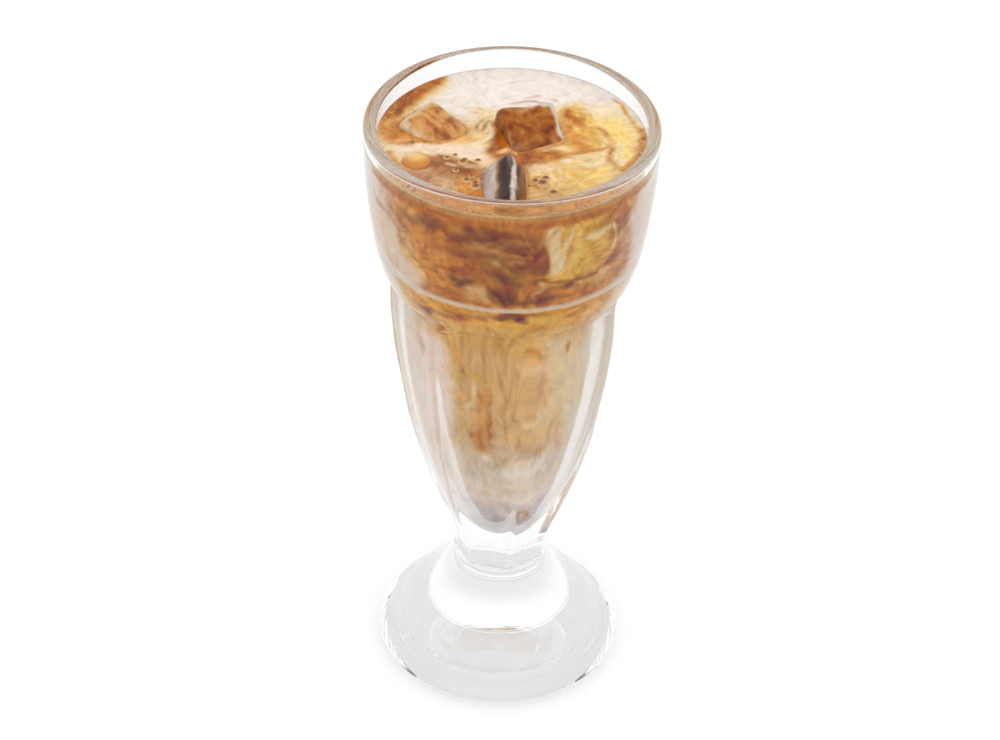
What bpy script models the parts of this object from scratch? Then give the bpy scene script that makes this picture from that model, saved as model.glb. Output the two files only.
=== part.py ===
"""Iced latte in a clear footed soda glass with seven flat panels.

Metres, +Z up. The origin is the middle of the foot, on the table that the glass stands on.
The front, where a panel corner stands a little right of the middle, faces -Y.
"""

import math

import bmesh
import bpy
import numpy as np
from mathutils import Euler, Vector

MM = 0.001

# Glass, driving sizes
GLASS_HEIGHT = 187.5 * MM
RIM_RADIUS = 41.5 * MM
RIM_WALL = 3.6 * MM
FOOT_RADIUS = 36.9 * MM
TURN_STEPS = 56

# Collar above the shoulder, then the panelled body down to the neck: height and outer radius
COLLAR = [(182.0, 41.5), (172.0, 41.1), (162.0, 40.2), (152.0, 38.8), (145.5, 37.4), (140.5, 35.8), (138.0, 34.2)]
SHOULDER = [(137.0, 32.6), (135.6, 33.3)]
BODY = [(133.5, 33.8), (124.0, 33.8), (110.0, 32.5), (97.0, 30.4), (85.0, 28.4), (73.0, 25.3)]
NECK = [(62.0, 21.8), (52.0, 18.1), (45.0, 15.6), (40.0, 14.2), (36.6, 13.9), (34.8, 14.2)]
FOOT_DOME = [(33.8, 13.6), (30.0, 15.8), (25.5, 18.3), (20.8, 22.0), (16.2, 26.8), (11.8, 30.2), (8.4, 31.6)]

# Round bead along the foot's edge, which meets the dome in a crease, and the hollow under the foot
FOOT_EDGE_HEIGHT = 3.6 * MM
FOOT_EDGE_ROUND = 3.1 * MM
FOOT_EDGE_CREASE = 125.0
REST_RING_OUTER = 34.6 * MM
REST_RING_INNER = 30.0 * MM
UNDER_HOLLOW = 7.5 * MM

# Inside of the glass: height and radius, from the rim down to the rounded bottom
INSIDE = [
    (182.0, 37.9), (172.0, 37.7), (162.0, 37.0), (153.0, 35.8), (149.5, 34.6), (147.0, 32.9), (144.0, 31.0),
    (140.0, 29.0), (135.0, 27.4), (124.0, 26.8), (112.0, 25.7), (100.0, 23.9), (89.0, 21.9), (78.0, 19.0),
    (68.0, 15.7), (60.0, 12.2), (54.0, 8.7), (50.2, 5.0), (48.5, 2.2),
]
BOTTOM_HEIGHT = 48.0 * MM

# Seven flat panels with arched tops
PANEL_COUNT = 7
FIRST_CORNER = math.radians(180.0)
PANEL_DEPTH_RATIO = 0.912
PANEL_TOP = 136.2 * MM
PANEL_ARCH = 2.6 * MM
PANEL_FOOT = 35.2 * MM
CUTTER_REACH = 52.0 * MM
CUTTER_HALF_WIDTH = 24.0 * MM

# Drink
DRINK_LEVEL = 181.0 * MM
CLEARANCE = 0.3 * MM
SURFACE_RINGS = 7
MENISCUS = 0.5 * MM
SWIRL_HEIGHT = 0.35 * MM

# Bubbles that stand on the drink: x, y, widest radius of the dome, dome height
BUBBLES = [
    (-26.2, -12.0, 4.2, 1.9),
    (-9.6, -23.5, 1.6, 0.9),
    (-13.4, -11.8, 1.5, 0.9),
    (8.6, -21.5, 2.0, 1.1),
    (11.6, -26.0, 1.7, 1.0),
]

# Ice blocks that reach out of the drink: size, squareness of the corners, centre, turns about X, Y and Z
ICE_CUTS = 4
ICE_DISH = 0.07
ICE_WAVE = 0.035
ICE_BLOCKS = {
    "ice_right": ((17.5, 18.0, 16.0), 7.0, (4.6, 5.4, 176.6), (25.0, 3.0, 22.0)),
    "ice_left": ((15.5, 17.5, 14.0), 3.8, (-22.4, 6.2, 176.8), (17.0, -8.6, 48.0)),
    "ice_front": ((13.0, 18.6, 13.0), 9.0, (-1.2, -23.7, 177.8), (10.0, 53.0, 13.0)),
}


def clear_scene():
    """Remove every object of the open scene."""
    for thing in list(bpy.data.objects):
        bpy.data.objects.remove(thing, do_unlink=True)


def new_collection(name):
    """Add a collection to the scene."""
    group = bpy.data.collections.new(name)
    bpy.context.scene.collection.children.link(group)
    return group


def make_material(name, colour, roughness, transmission=0.0):
    """A plain material of one colour."""
    material = bpy.data.materials.new(name)
    material.use_nodes = True
    shader = material.node_tree.nodes["Principled BSDF"]
    shader.inputs["Base Color"].default_value = (*colour, 1.0)
    shader.inputs["Roughness"].default_value = roughness
    shader.inputs["Metallic"].default_value = 0.0
    shader.inputs["Transmission Weight"].default_value = transmission
    return material


def in_metres(stations):
    """Stations of (height, radius) in millimetres as profile points of (radius, height) in metres."""
    return [(radius * MM, height * MM) for height, radius in stations]


def arc(centre_radius, centre_height, size, start, end, count):
    """Points of a round stretch, from one angle to another in degrees, 0 outwards and 90 up."""
    angles = np.radians(np.linspace(start, end, count))
    return [(centre_radius + size * math.cos(a), centre_height + size * math.sin(a)) for a in angles]


def inside_profile():
    """Inside of the glass, from the rim end down to the middle of the bottom."""
    return in_metres(INSIDE) + [(0.0, BOTTOM_HEIGHT)]


def glass_profile():
    """Whole section of the glass: up the inside, over the lip, down the outside and under the foot."""
    lip = RIM_WALL / 2
    lip_arc = arc(RIM_RADIUS - lip, GLASS_HEIGHT - lip, lip, 180, 0, 7)
    edge_centre = FOOT_RADIUS - FOOT_EDGE_ROUND
    edge_arc = arc(edge_centre, FOOT_EDGE_HEIGHT, FOOT_EDGE_ROUND, FOOT_EDGE_CREASE, -60, 8)
    outside = in_metres(COLLAR + SHOULDER + BODY + NECK + FOOT_DOME)
    ring = [(REST_RING_OUTER, 0.0), (REST_RING_INNER, 0.0)]
    hollow = [(REST_RING_INNER * math.cos(a), UNDER_HOLLOW * math.sin(a)) for a in np.radians((18, 40, 65))]
    return inside_profile()[::-1] + lip_arc + outside + edge_arc + ring + hollow + [(0.0, UNDER_HOLLOW)]


def turned_piece(name, profile, group):
    """Turn a profile of (radius, height) points about the Z axis with a Screw modifier."""
    mesh = bpy.data.meshes.new(name)
    vertices = [(radius, 0.0, height) for radius, height in profile]
    edges = [(index, index + 1) for index in range(len(vertices) - 1)]
    mesh.from_pydata(vertices, edges, [])
    piece = bpy.data.objects.new(name, mesh)
    group.objects.link(piece)
    screw = piece.modifiers.new("Turn", "SCREW")
    screw.angle = 2 * math.pi
    screw.steps = TURN_STEPS
    screw.render_steps = TURN_STEPS
    screw.use_merge_vertices = True
    screw.merge_threshold = 0.00001
    screw.use_smooth_shade = True
    return piece


def apply_modifiers(piece):
    """Turn a piece's modifiers into its mesh."""
    bpy.context.view_layer.update()
    graph = bpy.context.evaluated_depsgraph_get()
    mesh = bpy.data.meshes.new_from_object(piece.evaluated_get(graph))
    piece.modifiers.clear()
    piece.data = mesh


def shade(piece, angle=35.0):
    """Shade a piece smooth, with its corners kept sharp."""
    piece.data.shade_smooth()
    piece.data.set_sharp_from_angle(angle=math.radians(angle))


def mark_cutter(piece):
    """Show a cutter as wires and keep it out of renders."""
    piece.display_type = "WIRE"
    piece.hide_render = True


def panel_outline():
    """Side view of one panel's cutter: the panel's curve, its arched top, and a back clear of the glass."""
    levels, radii = np.array((BODY + NECK)[::-1]).T * MM
    arch_start = PANEL_TOP - PANEL_ARCH
    heights = [PANEL_FOOT, *(level for level in levels if PANEL_FOOT < level < arch_start), arch_start]
    face = [(float(np.interp(height, levels, radii)) * PANEL_DEPTH_RATIO, float(height)) for height in heights]
    arch = [
        (face[-1][0] + PANEL_ARCH * (1 - math.cos(a)), arch_start + PANEL_ARCH * math.sin(a))
        for a in np.radians((30, 60, 90))
    ]
    return face + arch + [(CUTTER_REACH, PANEL_TOP), (CUTTER_REACH, PANEL_FOOT)]


def panel_cutter(index, group):
    """One plank whose inner face leaves a flat panel between two corners."""
    outline = panel_outline()
    curve = bpy.data.curves.new("panel_cutter", "CURVE")
    curve.dimensions = "2D"
    curve.fill_mode = "BOTH"
    curve.extrude = CUTTER_HALF_WIDTH
    spline = curve.splines.new("POLY")
    spline.points.add(len(outline) - 1)
    for point, (radius, height) in zip(spline.points, outline):
        point.co = (radius, height, 0.0, 1.0)
    spline.use_cyclic_u = True
    plank = bpy.data.objects.new("panel_cutter", curve)
    group.objects.link(plank)
    bpy.context.view_layer.update()
    graph = bpy.context.evaluated_depsgraph_get()
    mesh = bpy.data.meshes.new_from_object(plank.evaluated_get(graph))
    bpy.data.objects.remove(plank, do_unlink=True)
    shape = bmesh.new()
    shape.from_mesh(mesh)
    bmesh.ops.remove_doubles(shape, verts=shape.verts, dist=0.00001)
    bmesh.ops.recalc_face_normals(shape, faces=shape.faces)
    shape.to_mesh(mesh)
    shape.free()
    middle = FIRST_CORNER + (index + 0.5) * 2 * math.pi / PANEL_COUNT
    cutter = bpy.data.objects.new(f"panel_cutter_{index}", mesh)
    cutter.rotation_euler = Euler((math.pi / 2, 0.0, middle))
    mark_cutter(cutter)
    group.objects.link(cutter)
    return cutter


def cut(piece, cutter, operation="DIFFERENCE"):
    """Add a Boolean modifier with one other object."""
    boolean = piece.modifiers.new(operation.title(), "BOOLEAN")
    boolean.operation = operation
    boolean.solver = "EXACT"
    boolean.object = cutter
    return boolean


def build_glass(group, cutters):
    """The clear glass: a turned section with seven flat panels cut into its body."""
    glass = turned_piece("glass", glass_profile(), group)
    for index in range(PANEL_COUNT):
        cut(glass, panel_cutter(index, cutters))
    apply_modifiers(glass)
    shade(glass)
    glass.data.materials.clear()
    glass.data.materials.append(make_material("clear_glass", (0.95, 0.96, 0.96), 0.03, 1.0))


def ice_mesh(name, size, squareness, spare=0.0):
    """A melted block: a cube whose points lie on a rounded box, with dished faces and slow waves.

    A cube's point is divided by its own p-norm, with p the squareness, so that the edges and
    corners round off. Each face is then dished towards its middle.
    """
    shape = bmesh.new()
    bmesh.ops.create_cube(shape, size=2.0)
    bmesh.ops.subdivide_edges(shape, edges=shape.edges[:], cuts=ICE_CUTS, use_grid_fill=True)
    half = [side * MM / 2 + spare for side in size]
    for vertex in shape.verts:
        point = vertex.co.copy()
        norm = sum(abs(value) ** squareness for value in point) ** (1 / squareness)
        flat = sorted(abs(value) for value in point)
        dish = ICE_DISH * (1 - flat[0] ** 2) * (1 - flat[1] ** 2)
        wave = ICE_WAVE * math.sin(3.1 * point.x + 1.3) * math.sin(2.7 * point.y + 2.1 * point.z)
        scale = (1 - dish + wave) / norm
        vertex.co = Vector([value * scale * side for value, side in zip(point, half)])
    mesh = bpy.data.meshes.new(name)
    shape.to_mesh(mesh)
    shape.free()
    return mesh


def place_ice(block, centre, turns):
    """Set an ice block where it floats."""
    block.location = Vector(centre) * MM
    block.rotation_euler = Euler([math.radians(turn) for turn in turns])


def build_ice(group):
    """The ice blocks that reach out of the drink."""
    for name, (size, squareness, centre, turns) in ICE_BLOCKS.items():
        block = bpy.data.objects.new(name, ice_mesh(name, size, squareness))
        place_ice(block, centre, turns)
        block.data.materials.append(make_material(f"{name}_clear", (0.90, 0.86, 0.80), 0.08, 0.8))
        group.objects.link(block)
        shade(block)


def ice_pocket(name, cutters):
    """A cutter a little larger than an ice block, for its pocket in the drink."""
    size, squareness, centre, turns = ICE_BLOCKS[name]
    pocket = bpy.data.objects.new(f"{name}_pocket", ice_mesh(f"{name}_pocket", size, squareness, CLEARANCE))
    place_ice(pocket, centre, turns)
    mark_cutter(pocket)
    cutters.objects.link(pocket)
    return pocket


def drink_profile():
    """Section of the drink: rings of its surface, then down the wall, the clearance inside the glass."""
    radii, heights = np.array(inside_profile()[::-1]).T
    wall = np.array([point for point in inside_profile() if point[1] < DRINK_LEVEL])
    wall = np.vstack([(np.interp(DRINK_LEVEL, heights, radii), DRINK_LEVEL), wall])
    along = np.gradient(wall, axis=0)
    along /= np.linalg.norm(along, axis=1)[:, None]
    inward = np.stack([along[:, 1], -along[:, 0]], axis=1)
    inner = wall + CLEARANCE * inward
    inner[0, 1] = DRINK_LEVEL
    inner[-1] = (0.0, BOTTOM_HEIGHT + CLEARANCE)
    rings = [(inner[0, 0] * step / SURFACE_RINGS, DRINK_LEVEL) for step in range(SURFACE_RINGS)]
    return rings + [(float(radius), float(height)) for radius, height in inner]


def surface_lift(x, y):
    """Height of the drink's slow swirls above its level, and the rise where it meets the wall."""
    radius = math.hypot(x, y)
    angle = math.atan2(y, x)
    outwards = radius / (RIM_RADIUS - RIM_WALL)
    swirl = math.sin(3 * angle + 5 * outwards) + math.sin(2 * angle - 7 * outwards + 1.0)
    return SWIRL_HEIGHT * swirl * outwards * (1 - outwards ** 2) + MENISCUS * outwards ** 8


def bubble_dome(index, x, y, radius, height, cutters):
    """A flattened ball whose top stands on the drink as a bubble's dome."""
    depth = radius * MM * 0.6
    shape = bmesh.new()
    bmesh.ops.create_uvsphere(shape, u_segments=12, v_segments=8, radius=1.0)
    bmesh.ops.scale(shape, vec=(radius * MM, radius * MM, height * MM + depth), verts=shape.verts)
    mesh = bpy.data.meshes.new(f"bubble_{index}")
    shape.to_mesh(mesh)
    shape.free()
    dome = bpy.data.objects.new(f"bubble_{index}", mesh)
    dome.location = (x * MM, y * MM, DRINK_LEVEL - depth)
    cutters.objects.link(dome)
    mark_cutter(dome)
    return dome


def build_drink(group, cutters):
    """Coffee and milk up to the level that shows, with pockets round the ice and bubbles on top."""
    drink = turned_piece("drink", drink_profile(), group)
    apply_modifiers(drink)
    for vertex in drink.data.vertices:
        if vertex.co.z > DRINK_LEVEL - 0.01 * MM:
            vertex.co.z += surface_lift(vertex.co.x, vertex.co.y)
    for index, (x, y, radius, height) in enumerate(BUBBLES):
        cut(drink, bubble_dome(index, x, y, radius, height, cutters), "UNION")
    for name in ICE_BLOCKS:
        cut(drink, ice_pocket(name, cutters))
    apply_modifiers(drink)
    shade(drink)
    drink.data.materials.clear()
    drink.data.materials.append(make_material("latte", (0.56, 0.30, 0.12), 0.25))


def main():
    """Build the filled glass."""
    clear_scene()
    parts = new_collection("iced_latte")
    cutters = new_collection("cutters")
    build_glass(parts, cutters)
    build_ice(parts)
    build_drink(parts, cutters)


main()
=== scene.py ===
"""Looks of the iced latte in its footed soda glass.

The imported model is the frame. Each class below makes one sub-assembly as numpy surfaces: the pressed
glass, the marbled drink, the floating ice, the bubbles, and the studio round them. Sizes are in
millimetres until a mesh is made, and colours are screen values of 0 to 255 until they are kept on it.
"""

import logging
import math
from collections.abc import Callable
from dataclasses import dataclass, field
from enum import Enum

import bpy
import numpy as np
from mathutils import Euler, Matrix, Vector


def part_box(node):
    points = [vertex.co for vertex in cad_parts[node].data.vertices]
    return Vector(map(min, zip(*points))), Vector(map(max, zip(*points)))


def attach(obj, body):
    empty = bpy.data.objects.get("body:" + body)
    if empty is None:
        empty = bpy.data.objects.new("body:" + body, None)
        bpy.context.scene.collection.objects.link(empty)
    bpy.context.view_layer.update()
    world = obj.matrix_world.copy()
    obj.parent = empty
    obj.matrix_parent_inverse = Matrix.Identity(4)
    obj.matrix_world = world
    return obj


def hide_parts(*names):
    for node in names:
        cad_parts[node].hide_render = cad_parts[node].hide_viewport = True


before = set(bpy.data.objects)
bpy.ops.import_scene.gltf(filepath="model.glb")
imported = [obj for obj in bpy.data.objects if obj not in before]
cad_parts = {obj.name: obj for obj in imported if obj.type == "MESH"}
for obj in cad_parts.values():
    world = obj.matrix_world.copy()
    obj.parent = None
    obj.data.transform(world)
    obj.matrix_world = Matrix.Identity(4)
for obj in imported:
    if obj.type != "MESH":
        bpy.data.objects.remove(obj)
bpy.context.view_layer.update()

MM = 0.001
FAR = 1e3
BODY = "root"
LOG = logging.getLogger("iced_latte")

COFFEE_STAIN = np.array([0.66, 0.47, 0.30])
MILK_VEIL = np.array([0.42, 0.34, 0.20])
BRIGHTNESS = np.array([0.3, 0.6, 0.1])
NOISE_CELLS = 256
NOISE_GAIN = 1.6

Points = np.ndarray
Group = bpy.types.Collection
Piece = bpy.types.Object
Socket = bpy.types.NodeSocket


def smooth_curve(stations: tuple, per_span: int) -> Points:
    """Catmull-Rom curve: each span is a cubic whose ends take the chord of their neighbours.

    Args:
        stations: points of two numbers, in order.
        per_span: points made for each span.

    Returns:
        Array of points, the last station included.
    """
    knots = np.array(stations, dtype=float)
    padded = np.vstack([2 * knots[0] - knots[1], knots, 2 * knots[-1] - knots[-2]])
    before, start, end, after = (padded[shift:len(padded) - 3 + shift, None, :] for shift in range(4))
    t = (np.arange(per_span) / per_span)[None, :, None]
    curve = 0.5 * (
        2 * start
        + (end - before) * t
        + (2 * before - 5 * start + 4 * end - after) * t ** 2
        + (3 * start - before - 3 * end + after) * t ** 3
    )
    return np.vstack([curve.reshape(-1, knots.shape[1]), knots[-1]])


def arc(centre: tuple[float, float], size: float, start: float, end: float, count: int) -> Points:
    """Points of a circle from one angle to another, as centre plus size times (cos, sin).

    Args:
        centre: radius and height of the circle's centre.
        size: radius of the circle.
        start: first angle in degrees, 0 outwards and 90 up.
        end: last angle in degrees.
        count: number of points.

    Returns:
        Array of (radius, height).
    """
    angles = np.radians(np.linspace(start, end, count))
    return np.stack([centre[0] + size * np.cos(angles), centre[1] + size * np.sin(angles)], axis=1)


def full_turn(count: int) -> np.ndarray:
    """Angles of evenly spaced points round a circle, in radians."""
    return 2 * np.pi * np.arange(count) / count


def around(radius: np.ndarray, height: np.ndarray, angles: np.ndarray) -> Points:
    """Turned surface: its points are (radius cos a, radius sin a, height).

    Args:
        radius: a column with one to a row, or one to a point.
        height: a column with one to a row.
        angles: the angle a of each column, in radians.

    Returns:
        Array of (rows, columns, 3).
    """
    radius = np.broadcast_to(radius, (len(radius), len(angles)))
    return np.stack([radius * np.cos(angles), radius * np.sin(angles),
                     np.broadcast_to(height, radius.shape)], axis=-1)


def lattice_noise(points: Points, seed: int) -> np.ndarray:
    """Gradient noise: each lattice corner has a slope, and their values are blended by a quintic.

    Args:
        points: array of (..., 3), one lattice cell to a unit.
        seed: picks the table of slopes.

    Returns:
        Values of about -1 to 1, one to a point.
    """
    table = np.random.default_rng(seed).permutation(NOISE_CELLS)
    slopes = np.random.default_rng(seed + 1).normal(size=(NOISE_CELLS, 3))
    slopes /= np.linalg.norm(slopes, axis=1)[:, None]
    cell = np.floor(points).astype(int)
    part = points - cell
    fade = part ** 3 * (part * (part * 6 - 15) + 10)
    total = np.zeros(points.shape[:-1])
    for corner in np.ndindex(2, 2, 2):
        row = 0
        for axis in range(3):
            row = table[(row + cell[..., axis] + corner[axis]) % NOISE_CELLS]
        weight = np.prod(np.where(np.array(corner) == 1, fade, 1 - fade), axis=-1)
        total += weight * np.sum(slopes[row] * (part - corner), axis=-1)
    return total * NOISE_GAIN


def to_linear(screen: Points) -> Points:
    """Linear colours of screen colours, by the usual curve of screens."""
    share = np.clip(screen, 0, 255) / 255
    return np.where(share <= 0.04045, share / 12.92, ((share + 0.055) / 1.055) ** 2.4)


def smooth_step(value: np.ndarray, low: float, high: float) -> np.ndarray:
    """Rise from 0 at low to 1 at high by the cubic 3t^2 - 2t^3."""
    t = np.clip((value - low) / (high - low), 0.0, 1.0)
    return t * t * (3 - 2 * t)


def towards(colours: Points, goal: Points, share: np.ndarray) -> Points:
    """Colours moved a share of the way towards others, or towards one."""
    return colours + share[:, None] * (goal - colours)


def sheared(points: Points, longest: float, shortest: float, count: int, strain: float, seed: int) -> Points:
    """Carry points through a chain of shears, as stirring folds one liquid into another.

    Each shear pushes along one direction by a sine of the place across it, and is shorter than the last.

    Args:
        points: array of (n, 3), in millimetres.
        longest: wavelength of the first shear.
        shortest: wavelength of the last.
        count: number of shears.
        strain: push of each shear, as a share of its wavelength over a turn.
        seed: picks the directions.

    Returns:
        The carried points.
    """
    draw = np.random.default_rng(seed)
    for length in np.geomspace(longest, shortest, count):
        across, other = draw.normal(size=(2, 3))
        across /= np.linalg.norm(across)
        along = np.cross(across, other)
        along /= np.linalg.norm(along)
        wave = np.sin(2 * np.pi * (points @ across) / length + draw.uniform(0, 2 * np.pi))
        points = points + strain * length / (2 * np.pi) * wave[:, None] * along
    return points


@dataclass(frozen=True)
class Filaments:
    """Folded filaments: noise of a coarse and a fine size, read at sheared places."""

    longest: float
    shortest: float
    count: int
    coarse: float
    fine: float
    fine_share: float
    seeds: tuple[int, int, int]
    strain: float = 0.8
    contrast: float = 1.2

    def at(self, points: Points) -> np.ndarray:
        """Values of -1 to 1 at points.

        Args:
            points: array of (n, 3), in millimetres.

        Returns:
            One value to a point: coffee below 0, milk above.
        """
        shear_seed, coarse_seed, fine_seed = self.seeds
        folded = sheared(points, self.longest, self.shortest, self.count, self.strain, shear_seed)
        value = lattice_noise(folded / self.coarse, coarse_seed)
        value += self.fine_share * lattice_noise(folded / self.fine, fine_seed)
        return np.clip(self.contrast * value, -1, 1)


def stained(colours: Points, fold: np.ndarray, amount: np.ndarray | float) -> Points:
    """Darken colours with coffee where a fold is below 0, and thin them with milk where it is above.

    Args:
        colours: screen values, one to a point.
        fold: -1 to 1, one to a point.
        amount: how much of it shows.

    Returns:
        The new screen values.
    """
    share = (fold * amount)[:, None]
    dark = colours * (1 - np.maximum(-share, 0) * (1 - COFFEE_STAIN))
    return dark + np.maximum(share, 0) * MILK_VEIL * (255 - dark)


def new_mesh(name: str, points: Points, faces: list[np.ndarray], group: Group) -> Piece:
    """Put vertices and faces into a smooth-shaded object at the origin.

    Args:
        name: the object's name.
        points: array of (n, 3) vertices, in metres.
        faces: arrays of (m, 3) or (m, 4) vertex numbers.
        group: collection that takes the object.

    Returns:
        The object.
    """
    mesh = bpy.data.meshes.new(name)
    corners = np.concatenate([block.reshape(-1) for block in faces]).astype(np.int32)
    sizes = np.concatenate([np.full(len(block), block.shape[1]) for block in faces])
    starts = np.concatenate([[0], np.cumsum(sizes)[:-1]]).astype(np.int32)
    mesh.vertices.add(len(points))
    mesh.vertices.foreach_set("co", points.astype(np.float32).ravel())
    mesh.loops.add(len(corners))
    mesh.loops.foreach_set("vertex_index", corners)
    mesh.polygons.add(len(starts))
    mesh.polygons.foreach_set("loop_start", starts)
    mesh.update(calc_edges=True)
    mesh.validate()
    mesh.shade_smooth()
    piece = bpy.data.objects.new(name, mesh)
    group.objects.link(piece)
    return piece


def turned_faces(rows: int, columns: int) -> list[np.ndarray]:
    """Faces of a closed turned grid whose first and last rows are fans to a pole.

    The vertices are the rows in order, each of the same columns, and then the first and the last pole.

    Args:
        rows: number of rows of the grid.
        columns: vertices round each row.

    Returns:
        The quads, then the triangles of both fans.
    """
    row, column = np.meshgrid(np.arange(rows - 1), np.arange(columns), indexing="ij")
    beside = (column + 1) % columns
    quads = np.stack([row * columns + column, (row + 1) * columns + column,
                      (row + 1) * columns + beside, row * columns + beside], axis=-1).reshape(-1, 4)
    point = np.arange(columns)
    after = (point + 1) % columns
    pole = np.full(columns, rows * columns)
    last_row = (rows - 1) * columns
    return [quads, np.concatenate([np.stack([point, after, pole], axis=1),
                                   np.stack([last_row + after, last_row + point, pole + 1], axis=1)])]


def store_value(piece: Piece, name: str, values: np.ndarray) -> None:
    """Keep one number to a vertex as a named attribute."""
    layer = piece.data.attributes.new(name, "FLOAT", "POINT")
    layer.data.foreach_set("value", values.astype(np.float32))


def store_tone(piece: Piece, linear: Points) -> None:
    """Keep one linear colour to a vertex as an attribute named tone."""
    layer = piece.data.color_attributes.new("tone", "FLOAT_COLOR", "POINT")
    layer.data.foreach_set("color", np.insert(linear, 3, 1.0, axis=1).astype(np.float32).ravel())


class NodeDesk:
    """Makes the nodes of a material or a world and joins them, with a short call for each kind."""

    def __init__(self, owner: bpy.types.ID) -> None:
        """Start with the owner's first shader alone.

        Args:
            owner: a new material, or a new world.
        """
        owner.use_nodes = True
        self.owner = owner
        self.tree = owner.node_tree
        self.shader = self.tree.nodes.get("Principled BSDF") or self.tree.nodes["Background"]

    def feed(self, socket: Socket, value: Socket | float | tuple) -> None:
        """Link a socket to an output, or set it, with a colour of three bands made opaque.

        Args:
            socket: the socket that takes the value.
            value: another node's output, a number, a vector or a colour.
        """
        if isinstance(value, bpy.types.NodeSocket):
            self.tree.links.new(value, socket)
        else:
            socket.default_value = (*value, 1.0) if socket.type == "RGBA" else value

    def add(self, kind: str, inputs: dict | None = None, **settings) -> bpy.types.Node:
        """Add a shader node.

        Args:
            kind: the node's type name, after the words that all of them share.
            inputs: socket name or number to a value or to another node's output.
            settings: the node's own settings.

        Returns:
            The node.
        """
        node = self.tree.nodes.new("ShaderNode" + kind)
        for key, value in settings.items():
            setattr(node, key, value)
        for key, value in (inputs or {}).items():
            self.feed(node.inputs[key], value)
        return node

    def place(self) -> Socket:
        """Object coordinates."""
        return self.add("TexCoord").outputs["Object"]

    def attribute(self, name: str, output: str) -> Socket:
        """What is kept on the mesh under a name, as Color or Fac."""
        return self.add("Attribute", attribute_name=name).outputs[output]

    def noise(self, vector: Socket, scale: float, detail: float = 3.0, distortion: float = 0.0,
              roughness: float = 0.5) -> Socket:
        """Noise texture."""
        return self.add("TexNoise", {"Vector": vector, "Scale": scale, "Detail": detail,
                                     "Roughness": roughness, "Distortion": distortion}).outputs["Fac"]

    def math(self, operation: str, *inputs: Socket | float, clamped: bool = False) -> Socket:
        """Math node of up to three inputs."""
        return self.add("Math", dict(enumerate(inputs)), operation=operation, use_clamp=clamped).outputs[0]

    def ramp(self, factor: Socket, stops: tuple) -> Socket:
        """Colour ramp.

        Args:
            factor: what the ramp is read at.
            stops: (place, colour) in rising order.

        Returns:
            The ramp's colour.
        """
        node = self.add("ValToRGB", {"Fac": factor})
        band = node.color_ramp
        while len(band.elements) < len(stops):
            band.elements.new(0.5)
        for element, (position, colour) in zip(band.elements, stops):
            element.position = position
            element.color = (*colour, 1.0)
        return node.outputs["Color"]

    def multiplied(self, share: Socket | float, first: Socket, second: Socket | tuple) -> Socket:
        """A colour multiplied by another, as far as the share says."""
        return self.mix(share, first, second, "MULTIPLY")

    def mix(self, share: Socket | float, first: Socket, second: Socket | tuple, blend: str = "MIX") -> Socket:
        """Mix two colours."""
        inputs = {0: share, 6: first, 7: second}
        return self.add("Mix", inputs, data_type="RGBA", blend_type=blend).outputs[2]

    def bump(self, height: Socket, strength: float, distance: float) -> None:
        """Feed a bump to the shader's normal."""
        node = self.add("Bump", {"Height": height, "Strength": strength, "Distance": distance})
        self.set(Normal=node.outputs[0])

    def set(self, **values: Socket | float | tuple) -> None:
        """Set or link the shader's sockets, named with _ for a blank."""
        for key, value in values.items():
            self.feed(self.shader.inputs[key.replace("_", " ")], value)


@dataclass(frozen=True)
class ClearGlass:
    """Colourless pressed glass, very faintly grey where it is thick."""

    ior: float = 1.5
    colour: tuple[float, float, float] = (0.95, 0.956, 0.955)
    reflection: float = 0.5
    ripple_scale: float = 22.0
    ripple_strength: float = 0.35
    ripple_height: float = 0.00012

    def make(self) -> bpy.types.Material:
        """Build the material, with the faint ripple that pressing leaves.

        Returns:
            The material.
        """
        desk = NodeDesk(bpy.data.materials.new("clear_pressed_glass"))
        desk.set(Base_Color=self.colour, Roughness=0.0, IOR=self.ior, Transmission_Weight=1.0,
                 Specular_Tint=(self.reflection,) * 3)
        desk.bump(desk.noise(desk.place(), self.ripple_scale, 1.0), self.ripple_strength, self.ripple_height)
        return desk.owner


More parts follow.
